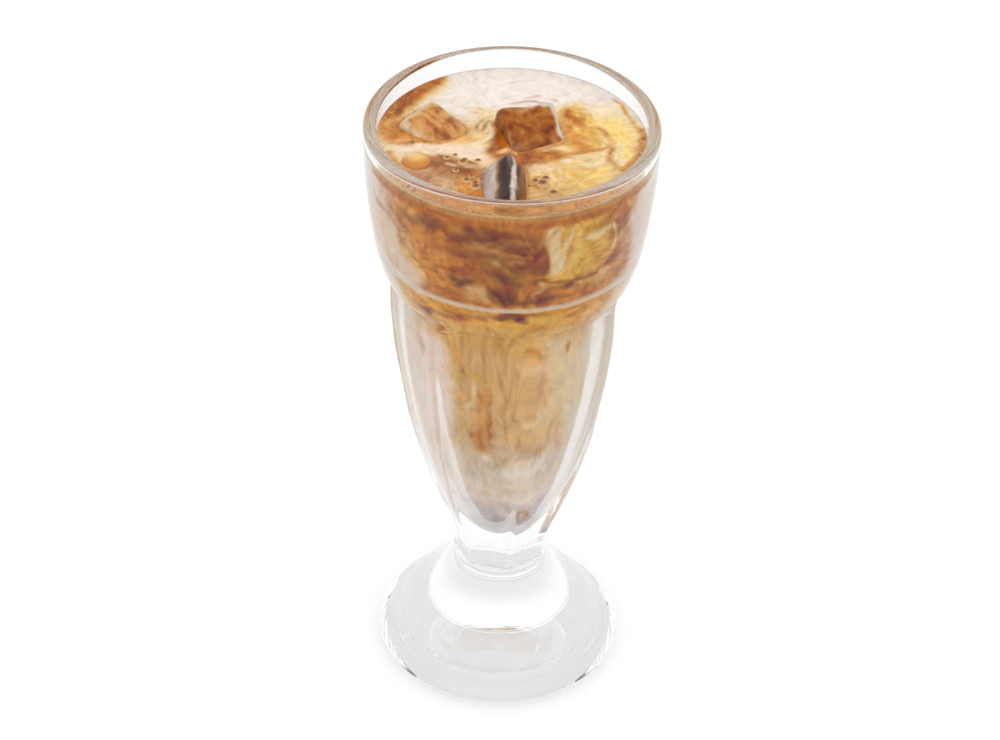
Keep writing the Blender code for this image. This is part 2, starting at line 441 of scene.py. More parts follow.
@dataclass
class SodaGlass:
    """The footed glass: a turned section whose body is cut by seven flat panels.

    Stations are (radius, height), from the rim down.
    """

    height: float
    rim_radius: float = 41.5
    wall: float = 3.6
    columns: int = 280
    collar: tuple = ((41.5, 185.7), (41.5, 182.0), (41.1, 172.0), (40.2, 162.0), (38.8, 152.0), (37.4, 145.5),
                     (35.8, 140.5), (34.2, 138.0), (32.6, 137.0))
    shoulder: tuple = ((32.6, 137.0), (33.3, 135.6), (33.8, 133.5))
    body: tuple = ((33.8, 133.5), (33.8, 124.0), (32.5, 110.0), (30.4, 97.0), (28.4, 85.0), (25.3, 73.0),
                   (21.8, 62.0), (18.1, 52.0), (15.6, 45.0), (14.2, 40.0), (13.9, 36.6), (14.2, 34.8))
    dome: tuple = ((13.6, 33.8), (15.8, 30.0), (18.3, 25.5), (22.0, 20.8), (26.8, 16.2), (30.2, 11.8),
                   (31.6, 8.4))
    inside: tuple = ((37.9, 185.7), (37.9, 182.0), (37.7, 172.0), (37.0, 162.0), (35.8, 153.0), (34.6, 149.5),
                     (32.9, 147.0), (31.0, 144.0), (29.0, 140.0), (27.4, 135.0), (26.8, 124.0), (25.7, 112.0),
                     (23.9, 100.0), (21.9, 89.0), (19.0, 78.0), (15.7, 68.0), (12.2, 60.0), (8.7, 54.0),
                     (5.0, 50.2), (2.2, 48.5), (0.0, 48.0))
    foot_radius: float = 36.9
    edge_height: float = 3.6
    edge_round: float = 3.1
    crease: float = 125.0
    edge_end: float = -65.0
    ring: tuple = (34.6, 30.0)
    hollow: float = 7.5
    hollow_angles: tuple = (8.0, 84.0)
    panels: int = 7
    first_corner: float = 180.0
    depth_ratio: float = 0.912
    panel_top: float = 136.2
    arch: float = 2.6
    panel_foot: float = 35.2
    corner_round: float = 0.12
    finish: ClearGlass = field(default_factory=ClearGlass)

    def inner_profile(self) -> Points:
        """Smooth inside of the glass, from the rim down to the middle of the bottom."""
        return smooth_curve(self.inside, per_span=5)

    def outer_profile(self) -> Points:
        """Lip, outside and underside of the glass, each a smooth curve or an arc.

        Returns:
            Array of (radius, height), from the inner edge of the lip to the middle of the hollow.
        """
        half = self.wall / 2
        lip = arc((self.rim_radius - half, self.height - half), half, 180, 0, count=15)
        edge = arc((self.foot_radius - self.edge_round, self.edge_height), self.edge_round,
                   self.crease, self.edge_end, count=26)
        outer, inner = self.ring
        rest = np.array([(outer, 0.0), ((outer + inner) / 2, 0.0), (inner, 0.0)])
        angles = np.radians(np.linspace(*self.hollow_angles, 12))
        under = np.stack([inner * np.cos(angles), self.hollow * np.sin(angles)], axis=1)
        return np.vstack([lip[:-1], smooth_curve(self.collar, per_span=6)[:-1],
                          smooth_curve(self.shoulder, per_span=6)[:-1], smooth_curve(self.body, per_span=7),
                          smooth_curve(self.dome, per_span=6), edge, rest, under])

    def panel_face(self, heights: np.ndarray) -> np.ndarray:
        """Distance of the panels' faces from the axis.

        The face is the body's radius times the depth ratio. Over the last millimetres it runs out in an
        arch, a quarter circle, and above and below the panels it is far outside.

        Args:
            heights: where the faces are asked for.

        Returns:
            One distance to a height.
        """
        radii, levels = np.array(self.body + self.shoulder[::-1]).T
        order = np.argsort(levels)
        base = np.interp(np.minimum(heights, self.panel_top - self.arch), levels[order], radii[order])
        rise = np.clip((heights - self.panel_top + self.arch) / self.arch, 0.0, 1.0)
        face = base * self.depth_ratio + self.arch * (1 - np.sqrt(1 - rise ** 2))
        return np.where((heights >= self.panel_foot) & (heights <= self.panel_top), face, FAR)

    def surface(self, profile: Points, angles: np.ndarray) -> Points:
        """Turn a profile, with the outside's panels cut in.

        The radius is the soft minimum of the turned radius and of the panel's distance over the cosine
        of the angle to the middle of its panel: -k log(exp(-a/k) + exp(-b/k)).

        Args:
            profile: array of (radius, height).
            angles: where it is turned to, in radians.

        Returns:
            Array of (rows, columns, 3).
        """
        step = 2 * np.pi / self.panels
        across = np.mod(angles - np.radians(self.first_corner), step) - step / 2
        turned = profile[:, :1]
        flat = self.panel_face(profile[:, 1])[:, None] / np.cos(across)
        gap = np.minimum(np.abs(turned - flat) / self.corner_round, 60.0)
        radius = np.minimum(turned, flat) - self.corner_round * np.log1p(np.exp(-gap))
        radius = np.minimum(np.where(flat >= FAR, turned, radius), self.rim_radius)
        return around(radius, profile[:, 1:], angles)

    def build(self, group: Group) -> Piece:
        """Make the glass as one closed surface: the inside from its bottom up, then the outside.

        Args:
            group: collection that takes it.

        Returns:
            The dressed piece.
        """
        angles = full_turn(self.columns)
        inside = self.inner_profile()[-2:0:-1]
        inner = around(inside[:, :1], inside[:, 1:], angles)
        grid = np.concatenate([inner, self.surface(self.outer_profile(), angles)])
        points = np.vstack([grid.reshape(-1, 3), (0, 0, self.inside[-1][1]), (0, 0, self.hollow)])
        piece = new_mesh("pressed_glass", points * MM, turned_faces(len(grid), self.columns), group)
        piece.data.materials.append(self.finish.make())
        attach(piece, BODY)
        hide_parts("glass")
        return piece


class Tone(Enum):
    """Colours of coffee as milk thins it, in screen values of 0 to 255."""

    BLACK_BROWN = (52, 30, 24)
    ESPRESSO = (90, 46, 24)
    DARK = (124, 74, 36)
    RED_BROWN = (154, 88, 40)
    MAUVE_BROWN = (156, 98, 58)
    MAUVE = (178, 126, 100)
    BURNT_AMBER = (170, 88, 14)
    APRICOT = (228, 162, 92)
    LATTE = (206, 168, 124)
    BEIGE = (208, 188, 164)
    LILAC_GREY = (178, 166, 168)
    ORANGE_BROWN = (182, 108, 46)
    ORANGE = (206, 132, 60)
    AMBER = (214, 146, 50)
    OLIVE = (154, 112, 48)
    GOLD = (220, 170, 80)
    HONEY = (226, 188, 118)
    TAN = (212, 170, 114)
    SAND = (228, 200, 152)
    YELLOW = (243, 208, 122)
    CREAM = (240, 220, 182)
    PEACH = (240, 212, 186)
    PINK = (230, 210, 198)
    MILK = (246, 241, 234)
    FOAM = (238, 227, 218)
    VIOLET = (206, 195, 191)

    @property
    def screen(self) -> np.ndarray:
        """The tone's three bands as an array."""
        return np.array(self.value, dtype=float)


def blended(place: np.ndarray, stations: tuple) -> Points:
    """Tones blended between stations.

    Args:
        place: one number to a point.
        stations: (number, tone) in rising order.

    Returns:
        One colour to a point.
    """
    levels, tones = zip(*stations)
    bands = np.array([tone.value for tone in tones], dtype=float).T
    return np.stack([np.interp(place, levels, band) for band in bands], axis=1)


@dataclass(frozen=True)
class Stroke:
    """A streak of one tone, its sizes in millimetres.

    On the wall the path is (degrees from the front, height), with + to the right; on top it is (x, y).
    """

    tone: Tone
    width: float
    soft: float
    strength: float
    path: tuple


def strokes(*rows: tuple) -> tuple[Stroke, ...]:
    """Strokes from rows of a tone, a width, a softness, a strength and the points of the path."""
    return tuple(Stroke(*row[:4], row[4:]) for row in rows)


LEVEL = 181.0
FOAM_LINE = 179.5
LEDGE_HEIGHT = 149.0

# Lines that the stirring doesn't carry: rings of foam and coffee, and a pale ring at the ledge that is a
# painted highlight of the glass's inner ledge.
TOP_LINES = strokes(
    (Tone.ORANGE, 3.4, 1.4, 0.75, (-34, -8), (-30, -18), (-23, -26), (-13, -33), (0, -35), (13, -33),
     (23, -26), (30, -18), (34, -8)),
    (Tone.TAN, 1.3, 0.8, 0.8, (-37, -5), (-33, -17), (-26, -27), (-14, -35), (0, -37.4), (14, -35),
     (26, -27), (33, -17), (37, -5)),
)

WALL_LINES = strokes(
    (Tone.ORANGE_BROWN, 3, 1, 0.9, *((turn, FOAM_LINE) for turn in range(-70, 71, 14))),
    # Painted highlight: a pale ring round the wall at the glass's inner ledge.
    (Tone.MILK, 2, 1.4, 0.9, *((turn, LEDGE_HEIGHT) for turn in range(-180, 181, 12))),
)

# Broad clouds under the streaks of the wall.
WALL_GROUND = strokes(
    (Tone.PINK, 14, 6, 0.9, (-60, 120), (-58, 112), (-60, 92), (-64, 74)),
    (Tone.MILK, 14, 6, 0.9, (64, 132), (60, 116), (64, 96), (70, 68)),
    (Tone.CREAM, 16, 7, 0.75, (34, 128), (36, 118), (40, 104)),
    (Tone.BEIGE, 12, 6, 0.6, (20, 88), (14, 80), (2, 72)),
    (Tone.LILAC_GREY, 12, 4, 0.8, (-30, 58), (0, 56), (30, 58)),
    (Tone.ORANGE, 13, 6, 0.85, (-42, 174), (-37, 164), (-34, 156)),
    (Tone.ORANGE, 10, 7, 0.65, (-28, 173), (-24, 165), (-20, 158)),
    (Tone.DARK, 9, 7, 0.4, (-2, 173), (-3, 166), (3, 158)),
    (Tone.ORANGE_BROWN, 6, 5, 0.6, (46, 176), (48, 166), (46, 156)),
    (Tone.GOLD, 20, 5, 0.9, (30, 176), (32, 168), (26, 160)),
)

# Streaks of the wall, from the collar down.
WALL_STROKES = strokes(
    (Tone.PINK, 9, 3, 0.9, (60, 172), (67, 159.5), (66, 149.5), (56, 148.5)),
    (Tone.PEACH, 9, 3, 1, (-62, 170.5), (-57, 164.5), (-52, 157.5), (-43, 153)),
    (Tone.MAUVE, 3, 1.5, 0.6, (-66, 171), (-59, 170), (-54, 168)),
    (Tone.ORANGE, 8, 3, 0.9, (-38, 172), (-34, 166), (-31, 159.5)),
    (Tone.MAUVE_BROWN, 12, 4, 0.9, (-17, 174.5), (-3, 172), (9, 171.5)),
    (Tone.TAN, 3, 1.5, 0.8, (-52, 170), (-45, 166), (-41, 161)),
    (Tone.YELLOW, 2.2, 1, 0.9, (-47, 162.5), (-43, 159), (-39, 155)),
    (Tone.MILK, 4.5, 2, 0.9, (-65, 152.5), (-53, 150), (-41, 148.5)),
    (Tone.DARK, 2.6, 1.5, 0.6, (-10, 178), (-4, 172.5), (3, 170)),
    (Tone.TAN, 1.4, 0.8, 0.55, (-24, 177), (-17, 174.5), (-10, 171), (-5, 169)),
    (Tone.ORANGE, 1.3, 0.7, 0.6, (-23, 172), (-13, 172), (0, 168.5), (10, 168)),
    (Tone.RED_BROWN, 1.3, 0.8, 0.7, (-29, 167), (-22, 167.5), (-17, 162.5), (-13, 161.5)),
    (Tone.TAN, 1.6, 1, 0.5, (-11, 168), (-2, 165.5), (8, 166.5)),
    (Tone.RED_BROWN, 1.6, 1, 0.7, (-36, 158), (-28, 160.5), (-23, 160)),
    (Tone.OLIVE, 3.5, 1.2, 0.8, (-6, 159.5), (0, 161.5), (6, 162)),
    (Tone.ESPRESSO, 2.8, 1.2, 0.8, (-23, 157.5), (-19, 157), (-14, 159.5)),
    (Tone.AMBER, 3, 1, 0.95, (-35, 156.5), (-32, 156), (-30, 155)),
    (Tone.TAN, 4, 1.5, 0.8, (-17, 154.5), (-11, 156.5), (-9, 153.5)),
    (Tone.DARK, 5, 1.5, 0.95, (-5, 157), (-1, 154), (9, 154)),
    (Tone.TAN, 2.4, 1, 0.6, (-3, 159.5), (0, 158)),
    (Tone.RED_BROWN, 3.6, 1.2, 0.9, (10, 153.5), (17, 156.5), (28, 156)),
    (Tone.ORANGE, 3, 1.2, 0.9, (18, 152), (27, 153.5), (35, 154.5)),
    (Tone.ORANGE_BROWN, 2.4, 0.8, 0.9, (13, 170), (11, 164), (7, 155.5), (6, 152.5)),
    (Tone.DARK, 1.2, 0.6, 0.7, (11, 171.5), (8, 165.5), (3, 163)),
    (Tone.TAN, 1.3, 0.6, 0.7, (16, 163.5), (14, 159.5), (12, 153.5)),
    (Tone.SAND, 4.2, 1, 1, (17, 178.5), (18, 170.5), (20, 162.5)),
    (Tone.GOLD, 7.8, 1, 1, (37, 173.5), (36, 167), (29, 162.5), (23, 160.5)),
    # Painted shade down the left side of the pale petal.
    (Tone.OLIVE, 1.5, 1, 0.5, (19, 177), (16, 173), (16, 169)),
    (Tone.YELLOW, 2.6, 1, 0.7, (30, 175.5), (29, 169), (23, 163.5)),
    (Tone.AMBER, 1.1, 0.6, 0.8, (36, 170.5), (34, 165), (29, 161.5)),
    # Painted highlight down the right side of the pale petal.
    (Tone.MILK, 1.1, 0.8, 0.6, (27, 177), (25, 172.5), (22, 167.5), (21, 162.5)),
    (Tone.CREAM, 2.4, 1.2, 0.8, (33, 173), (39, 172), (44, 172)),
    (Tone.CREAM, 1.4, 0.6, 0.9, (46, 172.5), (47, 168), (43, 163.5)),
    (Tone.RED_BROWN, 1.7, 0.7, 0.9, (51, 167), (46, 162.5), (39, 158.5), (28, 158), (17, 160.5),
     (14, 168.5), (14, 176.5)),
    (Tone.SAND, 1.2, 0.6, 0.8, (44, 162.5), (42, 158), (36, 156.5), (28, 156.5)),
    (Tone.TAN, 4, 2, 0.8, (51, 169.5), (55, 163), (52, 158.5)),
    (Tone.DARK, 2.2, 1, 0.8, (3, 151.5), (12, 152), (22, 152.5)),
    (Tone.SAND, 3.5, 2, 0.7, (46, 159), (41, 154)),
    (Tone.ORANGE_BROWN, 2.4, 1, 0.9, (-40, 176.5), (-22, 178), (-5, 180), (10, 180), (23, 180.5),
     (34, 179.5), (48, 177.5)),
    (Tone.DARK, 2.6, 1, 0.7, (-53, 175.5), (-47, 174), (-39, 174.5), (-28, 176)),
    (Tone.YELLOW, 1.3, 0.6, 0.9, (-43, 179), (-40, 177.5)),
    (Tone.YELLOW, 1.2, 0.6, 0.9, (-34, 180.5), (-32, 179.5)),
    (Tone.PEACH, 0.8, 0.5, 0.8, (-27, 177), (-23, 179), (-20, 180.5)),
    (Tone.YELLOW, 1.7, 0.7, 0.9, (44, 181), (48, 178)),
    (Tone.YELLOW, 1.4, 0.7, 0.8, (52, 178), (55, 175)),
    (Tone.MAUVE_BROWN, 2.6, 1.2, 0.9, (-50, 142), (-43, 142), (-35, 143)),
    (Tone.ORANGE_BROWN, 3, 1.2, 0.9, (-35, 143.5), (-27, 143), (-20, 143)),
    (Tone.YELLOW, 2.4, 1, 0.9, (-14, 145.5), (-7, 145)),
    (Tone.DARK, 3.4, 1.2, 0.9, (-5, 144.5), (2, 146), (10, 143.5)),
    (Tone.RED_BROWN, 2.6, 1.2, 0.85, (-34, 145), (-20, 144.5), (-6, 145), (8, 146), (18, 145.5)),
    (Tone.GOLD, 4.2, 1.4, 0.9, (12, 145), (20, 143), (32, 141)),
    (Tone.AMBER, 2.2, 1, 0.9, (27, 146), (33, 143), (40, 140)),
    (Tone.TAN, 4, 2, 0.8, (42, 141), (55, 142.5)),
    (Tone.PINK, 9, 3, 0.9, (-50, 128), (-44, 120), (-45, 108.5), (-46, 93.5)),
    (Tone.MAUVE, 2.4, 2, 0.4, (-59, 124.5), (-46, 122)),
    (Tone.GOLD, 6, 4, 0.7, (-31, 133), (-12, 133.5), (7, 132.5), (14, 131.5)),
    (Tone.ORANGE_BROWN, 1.2, 0.6, 0.9, (-41, 130), (-37, 131.5), (-33, 134)),
    (Tone.AMBER, 2.2, 1.5, 0.5, (-37, 129.5), (-29, 126), (-26, 123.5)),
    (Tone.OLIVE, 1.3, 0.8, 0.5, (-14, 126), (-9, 128), (-2, 131)),
    (Tone.GOLD, 2.4, 1.2, 0.7, (-22, 121), (-12, 118), (-7, 116)),
    (Tone.OLIVE, 1, 0.7, 0.4, (-27, 128.5), (-26, 122.5), (-22, 118)),
    (Tone.CREAM, 3.2, 1.4, 0.8, (24, 132.5), (30, 129), (25, 126)),
    (Tone.ORANGE, 1.6, 0.8, 0.8, (13, 132), (15, 129.5), (15, 125)),
    (Tone.ORANGE_BROWN, 1.1, 0.6, 0.8, (18, 132.5), (16, 128), (18, 123.5)),
    (Tone.ORANGE_BROWN, 1.5, 0.7, 0.8, (37, 129), (36, 125)),
    (Tone.TAN, 9, 4, 0.7, (-16, 112), (8, 113.5), (23, 113.5)),
    (Tone.CREAM, 1.2, 0.8, 0.6, (-20, 118.5), (-20, 111.5), (-23, 103)),
    (Tone.ORANGE, 4.2, 1.6, 0.55, (-12, 113.5), (-12, 104), (-15, 94.5)),
    (Tone.ORANGE_BROWN, 0.9, 0.5, 0.8, (-7, 111.5), (-7, 107), (-3, 103.5)),
    (Tone.ORANGE_BROWN, 0.9, 0.5, 0.7, (-7, 107), (-9, 100), (-11, 94.5)),
    (Tone.TAN, 1.5, 0.8, 0.8, (17, 106.5), (15, 101), (4, 96)),
    (Tone.SAND, 1.2, 0.7, 0.8, (26, 106), (15, 101), (14, 96)),
    (Tone.GOLD, 1.2, 0.7, 0.5, (39, 105.5), (34, 100.5), (22, 96.5)),
    (Tone.SAND, 1, 0.6, 0.7, (-1, 116.5), (-3, 111), (1, 102.5)),
    (Tone.OLIVE, 0.8, 0.5, 0.35, (6, 112.5), (9, 105.5), (15, 103.5)),
    (Tone.TAN, 6.5, 2.5, 0.85, (-2, 99), (14, 96.5), (22, 94)),
    (Tone.ORANGE, 3.4, 1.4, 0.6, (-17, 97.5), (-18, 93), (-14, 88)),
    (Tone.ORANGE_BROWN, 0.8, 0.5, 0.8, (-9, 98), (-9, 94), (-11, 90.5)),
    (Tone.PINK, 2, 1, 0.8, (-14, 87), (-9, 85.5)),
    (Tone.OLIVE, 1.4, 1.4, 0.4, (-2, 84), (4, 87), (9, 88.5)),
    (Tone.MILK, 5, 4, 0.6, (7, 80), (18, 83), (34, 86)),
    (Tone.CREAM, 1.2, 1.2, 0.5, (11, 86), (15, 86.5), (25, 88.5), (34, 90.5)),
    (Tone.TAN, 1.6, 0.8, 0.8, (15, 91), (27, 91)),
    (Tone.VIOLET, 1, 0.6, 0.9, (-20, 82), (-23, 73.5)),
    (Tone.SAND, 2, 1, 0.7, (-14, 74.5), (-12, 70)),
    (Tone.TAN, 0.9, 0.5, 0.6, (-6, 78.5), (10, 78.5), (15, 79.5)),
    (Tone.SAND, 1, 0.6, 0.7, (-7, 76), (11, 75.5), (16, 76)),
    (Tone.TAN, 1.1, 0.6, 0.7, (-35, 66), (-20, 64.5), (-5, 67.5), (8, 71), (18, 73)),
    (Tone.VIOLET, 1.2, 0.8, 0.6, (23, 76), (32, 79), (33, 80.5)),
    (Tone.VIOLET, 2.6, 1, 0.8, (0, 63), (4, 58.5)),
    (Tone.OLIVE, 1.6, 0.7, 0.7, (12, 62), (21, 60)),
    (Tone.YELLOW, 0.9, 0.5, 0.8, (20, 64), (20, 61)),
    (Tone.MAUVE, 2.4, 0.9, 0.7, (15, 62.5), (19, 58.5)),
)

# Streaks of the surface.
TOP_STROKES = strokes(
    (Tone.SAND, 9, 4, 0.9, (-8.5, 15.5), (-7, 6.5), (-8, -0.5)),
    (Tone.TAN, 15, 5, 0.95, (-32.5, 6), (-24, 6.5), (-14.5, 4)),
    (Tone.ORANGE, 8, 3, 0.9, (-34.5, 12), (-33, 2), (-28, -1)),
    (Tone.FOAM, 4.5, 2, 0.9, (-4.5, 15), (5, 18.5), (14, 16.5)),
    (Tone.MAUVE_BROWN, 0.9, 0.8, 0.6, (-2, 19.5), (4, 22), (9, 20.5), (13, 18.5)),
    (Tone.MAUVE, 0.8, 0.8, 0.5, (2, 23.5), (7, 24.5), (12, 22)),
    (Tone.ORANGE_BROWN, 1.6, 1, 0.8, (14.5, 16.5), (17, 13), (17.5, 8)),
    (Tone.GOLD, 4.5, 2, 0.85, (-28, -1), (-20.5, -1.5), (-11.5, 0)),
    (Tone.PEACH, 8, 3, 0.95, (-33, -7.5), (-25, -5), (-15.5, -5.5), (-4, -8)),
    (Tone.MAUVE_BROWN, 10, 3, 0.95, (-21.5, -12), (-16, -15.5), (-10.5, -17)),
    (Tone.MAUVE, 7, 3, 0.9, (-31.5, -17.5), (-26, -19.5), (-19.5, -22.5)),
    (Tone.LATTE, 5, 3, 0.8, (-20.5, -19.5), (-15, -24), (-10, -28)),
    (Tone.ORANGE, 7, 2.5, 0.95, (-12.5, -20), (-9, -24), (-7.5, -26.5)),
    (Tone.BURNT_AMBER, 8, 3, 0.9, (-4, 2.5), (-0.5, -7.5), (8.5, -8), (14, -6)),
    (Tone.GOLD, 13, 4, 0.95, (16.5, 16.5), (19.5, 8), (20, -1.5)),
    (Tone.CREAM, 10, 3, 0.95, (25, 17), (30, 11), (31, -1.5), (31, -8.5)),
    (Tone.YELLOW, 8, 4, 0.95, (27, 12), (30, 4), (31, -6)),
    (Tone.HONEY, 14, 5, 0.8, (8.5, -16), (16.5, -15), (25.5, -14.5)),
    (Tone.HONEY, 9, 4, 0.8, (8.5, -24), (15.5, -21.5), (22.5, -18.5)),
    (Tone.TAN, 7, 3, 0.9, (5, -20), (8.5, -26), (15, -26.5)),
    (Tone.PEACH, 4.5, 2.4, 0.7, (6, -12), (11, -12)),
    (Tone.HONEY, 10, 3, 0.9, (-35, 9), (-31.5, 16), (-27.5, 23), (-23.5, 27.5), (-20.5, 30)),
    (Tone.ORANGE_BROWN, 6.5, 2.2, 1, (-35.5, 8.5), (-32, 16), (-27.5, 23), (-24, 28), (-21, 31.5)),
    (Tone.RED_BROWN, 1.8, 1, 0.8, (-33.5, 9.5), (-31, 14), (-28, 19)),
    (Tone.MAUVE_BROWN, 1.6, 0.8, 0.85, (-35.5, -2.5), (-32, -3.5), (-27.5, -1), (-21.5, -0.5)),
    (Tone.AMBER, 2, 1.2, 0.8, (-18, 1), (-13.5, 3.5), (-12, 6)),
    (Tone.CREAM, 1.6, 0.8, 0.9, (-3.5, 14.5), (-6, 9), (-6.5, 1.5), (-8.5, -2.5)),
    (Tone.OLIVE, 0.9, 0.6, 0.7, (-10.5, 5), (-10, 9), (-8.5, 12)),
    (Tone.OLIVE, 0.9, 0.6, 0.7, (-9, 4), (-8, 7.5), (-7, 11)),
    (Tone.YELLOW, 1.2, 0.7, 0.8, (-11.5, 0), (-9.5, 3), (-7.5, 4.5)),
    (Tone.RED_BROWN, 2.4, 1, 0.9, (-3.5, 12.5), (-3.5, 3.5), (-4.5, -6)),
    (Tone.ORANGE_BROWN, 2.4, 1.2, 0.85, (-0.5, -9), (5.5, -9.5), (12, -9)),
    (Tone.PEACH, 2.6, 0.8, 1, (13.5, -10), (15.5, -8.5)),
    (Tone.ORANGE_BROWN, 3, 1.4, 0.9, (15, 18), (17, 14.5), (19.5, 9)),
    (Tone.ORANGE, 4, 1.6, 0.9, (16, 8), (18.5, 3.5), (19.5, -2.5)),
    (Tone.YELLOW, 1.5, 0.8, 0.9, (17.5, 8), (20, 4.5), (23, 3)),
    (Tone.YELLOW, 1.2, 0.7, 0.9, (19.5, 12.5), (21.5, 10), (24.5, 8.5)),
    (Tone.CREAM, 1.3, 0.7, 0.9, (18, 2.5), (21.5, 0.5), (24, 0.5)),
    (Tone.ORANGE_BROWN, 2, 1.5, 0.8, (24.5, 8.5), (27, 3), (27, -5.5), (28.5, -11.5), (30.5, -14)),
    (Tone.ORANGE_BROWN, 1.6, 1, 0.8, (15.5, -5), (20, -3.5), (25.5, -2)),
    (Tone.YELLOW, 2, 1, 0.8, (30, 3.5), (31.5, -0.5), (32, -8.5)),
    (Tone.CREAM, 3, 1.6, 0.7, (29, 1), (29.5, -5.5)),
    (Tone.AMBER, 1.3, 0.7, 0.9, (29.5, 21.5), (33, 14.5), (35.5, 5.5)),
    (Tone.ORANGE_BROWN, 2.6, 1.4, 0.8, (35.5, 8), (36, 0), (34.5, -8), (31.5, -14)),
    (Tone.YELLOW, 3.4, 1.6, 0.9, (20, -16), (23.5, -18), (25.5, -13.5)),
    (Tone.AMBER, 1.4, 0.9, 0.8, (16.5, -16), (20, -20.5), (24, -21)),
    (Tone.CREAM, 2.4, 1.2, 0.9, (18, -10), (22, -12), (25, -9.5)),
    (Tone.CREAM, 1.2, 0.8, 0.8, (6.5, -15.5), (11, -18), (16.5, -18.5)),
    (Tone.TAN, 1, 0.6, 0.8, (12, -15.5), (14, -20.5), (16.5, -25.5)),
    (Tone.ESPRESSO, 2, 0.8, 0.9, (1.5, -10.5), (3, -14)),
    (Tone.MILK, 1.2, 0.6, 0.9, (2.5, -21.5), (2.5, -28.5)),
    (Tone.PEACH, 1.4, 0.7, 0.9, (-3, -7), (-0.5, -5.5), (1.5, -7)),
    (Tone.AMBER, 3.4, 1.4, 0.9, (5.5, -19), (7.5, -24)),
    (Tone.ORANGE_BROWN, 1.2, 0.6, 0.9, (5.5, -18), (8, -17), (9.5, -20)),
    (Tone.DARK, 1.2, 0.6, 0.9, (-20.5, -9.5), (-18, -10.5)),
    (Tone.DARK, 1.2, 0.6, 0.9, (-14.5, -11.5), (-12, -11.5), (-9, -12.5)),
    (Tone.PEACH, 1.4, 0.7, 0.8, (-18, -13.5), (-14, -14.5), (-11, -14.5)),
    (Tone.ORANGE_BROWN, 1.2, 0.7, 0.9, (-13, -16.5), (-9.5, -17), (-7, -20)),
    (Tone.ORANGE_BROWN, 3, 1.4, 0.8, (-11.5, -27), (-8.5, -28)),
)

@dataclass(frozen=True)
class BackStrokes:
    """Seeded strokes for the side that faces away, of the same kinds and tones as the front's.

    A zone is (lowest height, greatest lean, tones). A stroke that leans runs round the wall as it climbs.
    """

    count: int = 60
    points: int = 4
    seed: int = 11
    zones: tuple = (
        (138.0, 1.0, (Tone.DARK, Tone.ORANGE, Tone.SAND, Tone.RED_BROWN, Tone.GOLD, Tone.CREAM)),
        (92.0, 0.3, (Tone.TAN, Tone.PINK, Tone.ORANGE, Tone.CREAM, Tone.GOLD, Tone.MILK)),
        (0.0, 0.3, (Tone.MILK, Tone.SAND, Tone.VIOLET, Tone.TAN, Tone.PINK, Tone.CREAM)),
    )
    heights: tuple = (58.0, 178.0)
    highest: float = 179.0
    turns: tuple = (136.0, 224.0)
    lengths: tuple = (5.0, 14.0)
    degrees_per_mm: float = 1.8
    flattening: float = 0.6
    bow: float = 6.0
    widths: tuple = (1.0, 5.5)
    softness: tuple = (0.6, 2.0)
    strengths: tuple = (0.5, 0.95)

    def make(self) -> list[Stroke]:
        """Draw the strokes.

        Returns:
            The strokes, each a bow through its points.
        """
        draw = np.random.default_rng(self.seed)
        steps = np.linspace(-1, 1, self.points)
        family = []
        for number in range(self.count):
            height = draw.uniform(*self.heights)
            most, tones = next(zone[1:] for zone in self.zones if height > zone[0])
            turn = draw.uniform(*self.turns)
            lean = draw.uniform(-most, most)
            length = draw.uniform(*self.lengths)
            bow = draw.uniform(-self.bow, self.bow)
            around_wall = turn + self.degrees_per_mm * length * lean * steps + bow * steps ** 2
            climb = np.minimum(height + length * steps * (1 - abs(lean) * self.flattening), self.highest)
            drawn = (draw.uniform(*span) for span in (self.widths, self.softness, self.strengths))
            family.append(Stroke(tones[number % len(tones)], *drawn, tuple(zip(around_wall, climb))))
        return family


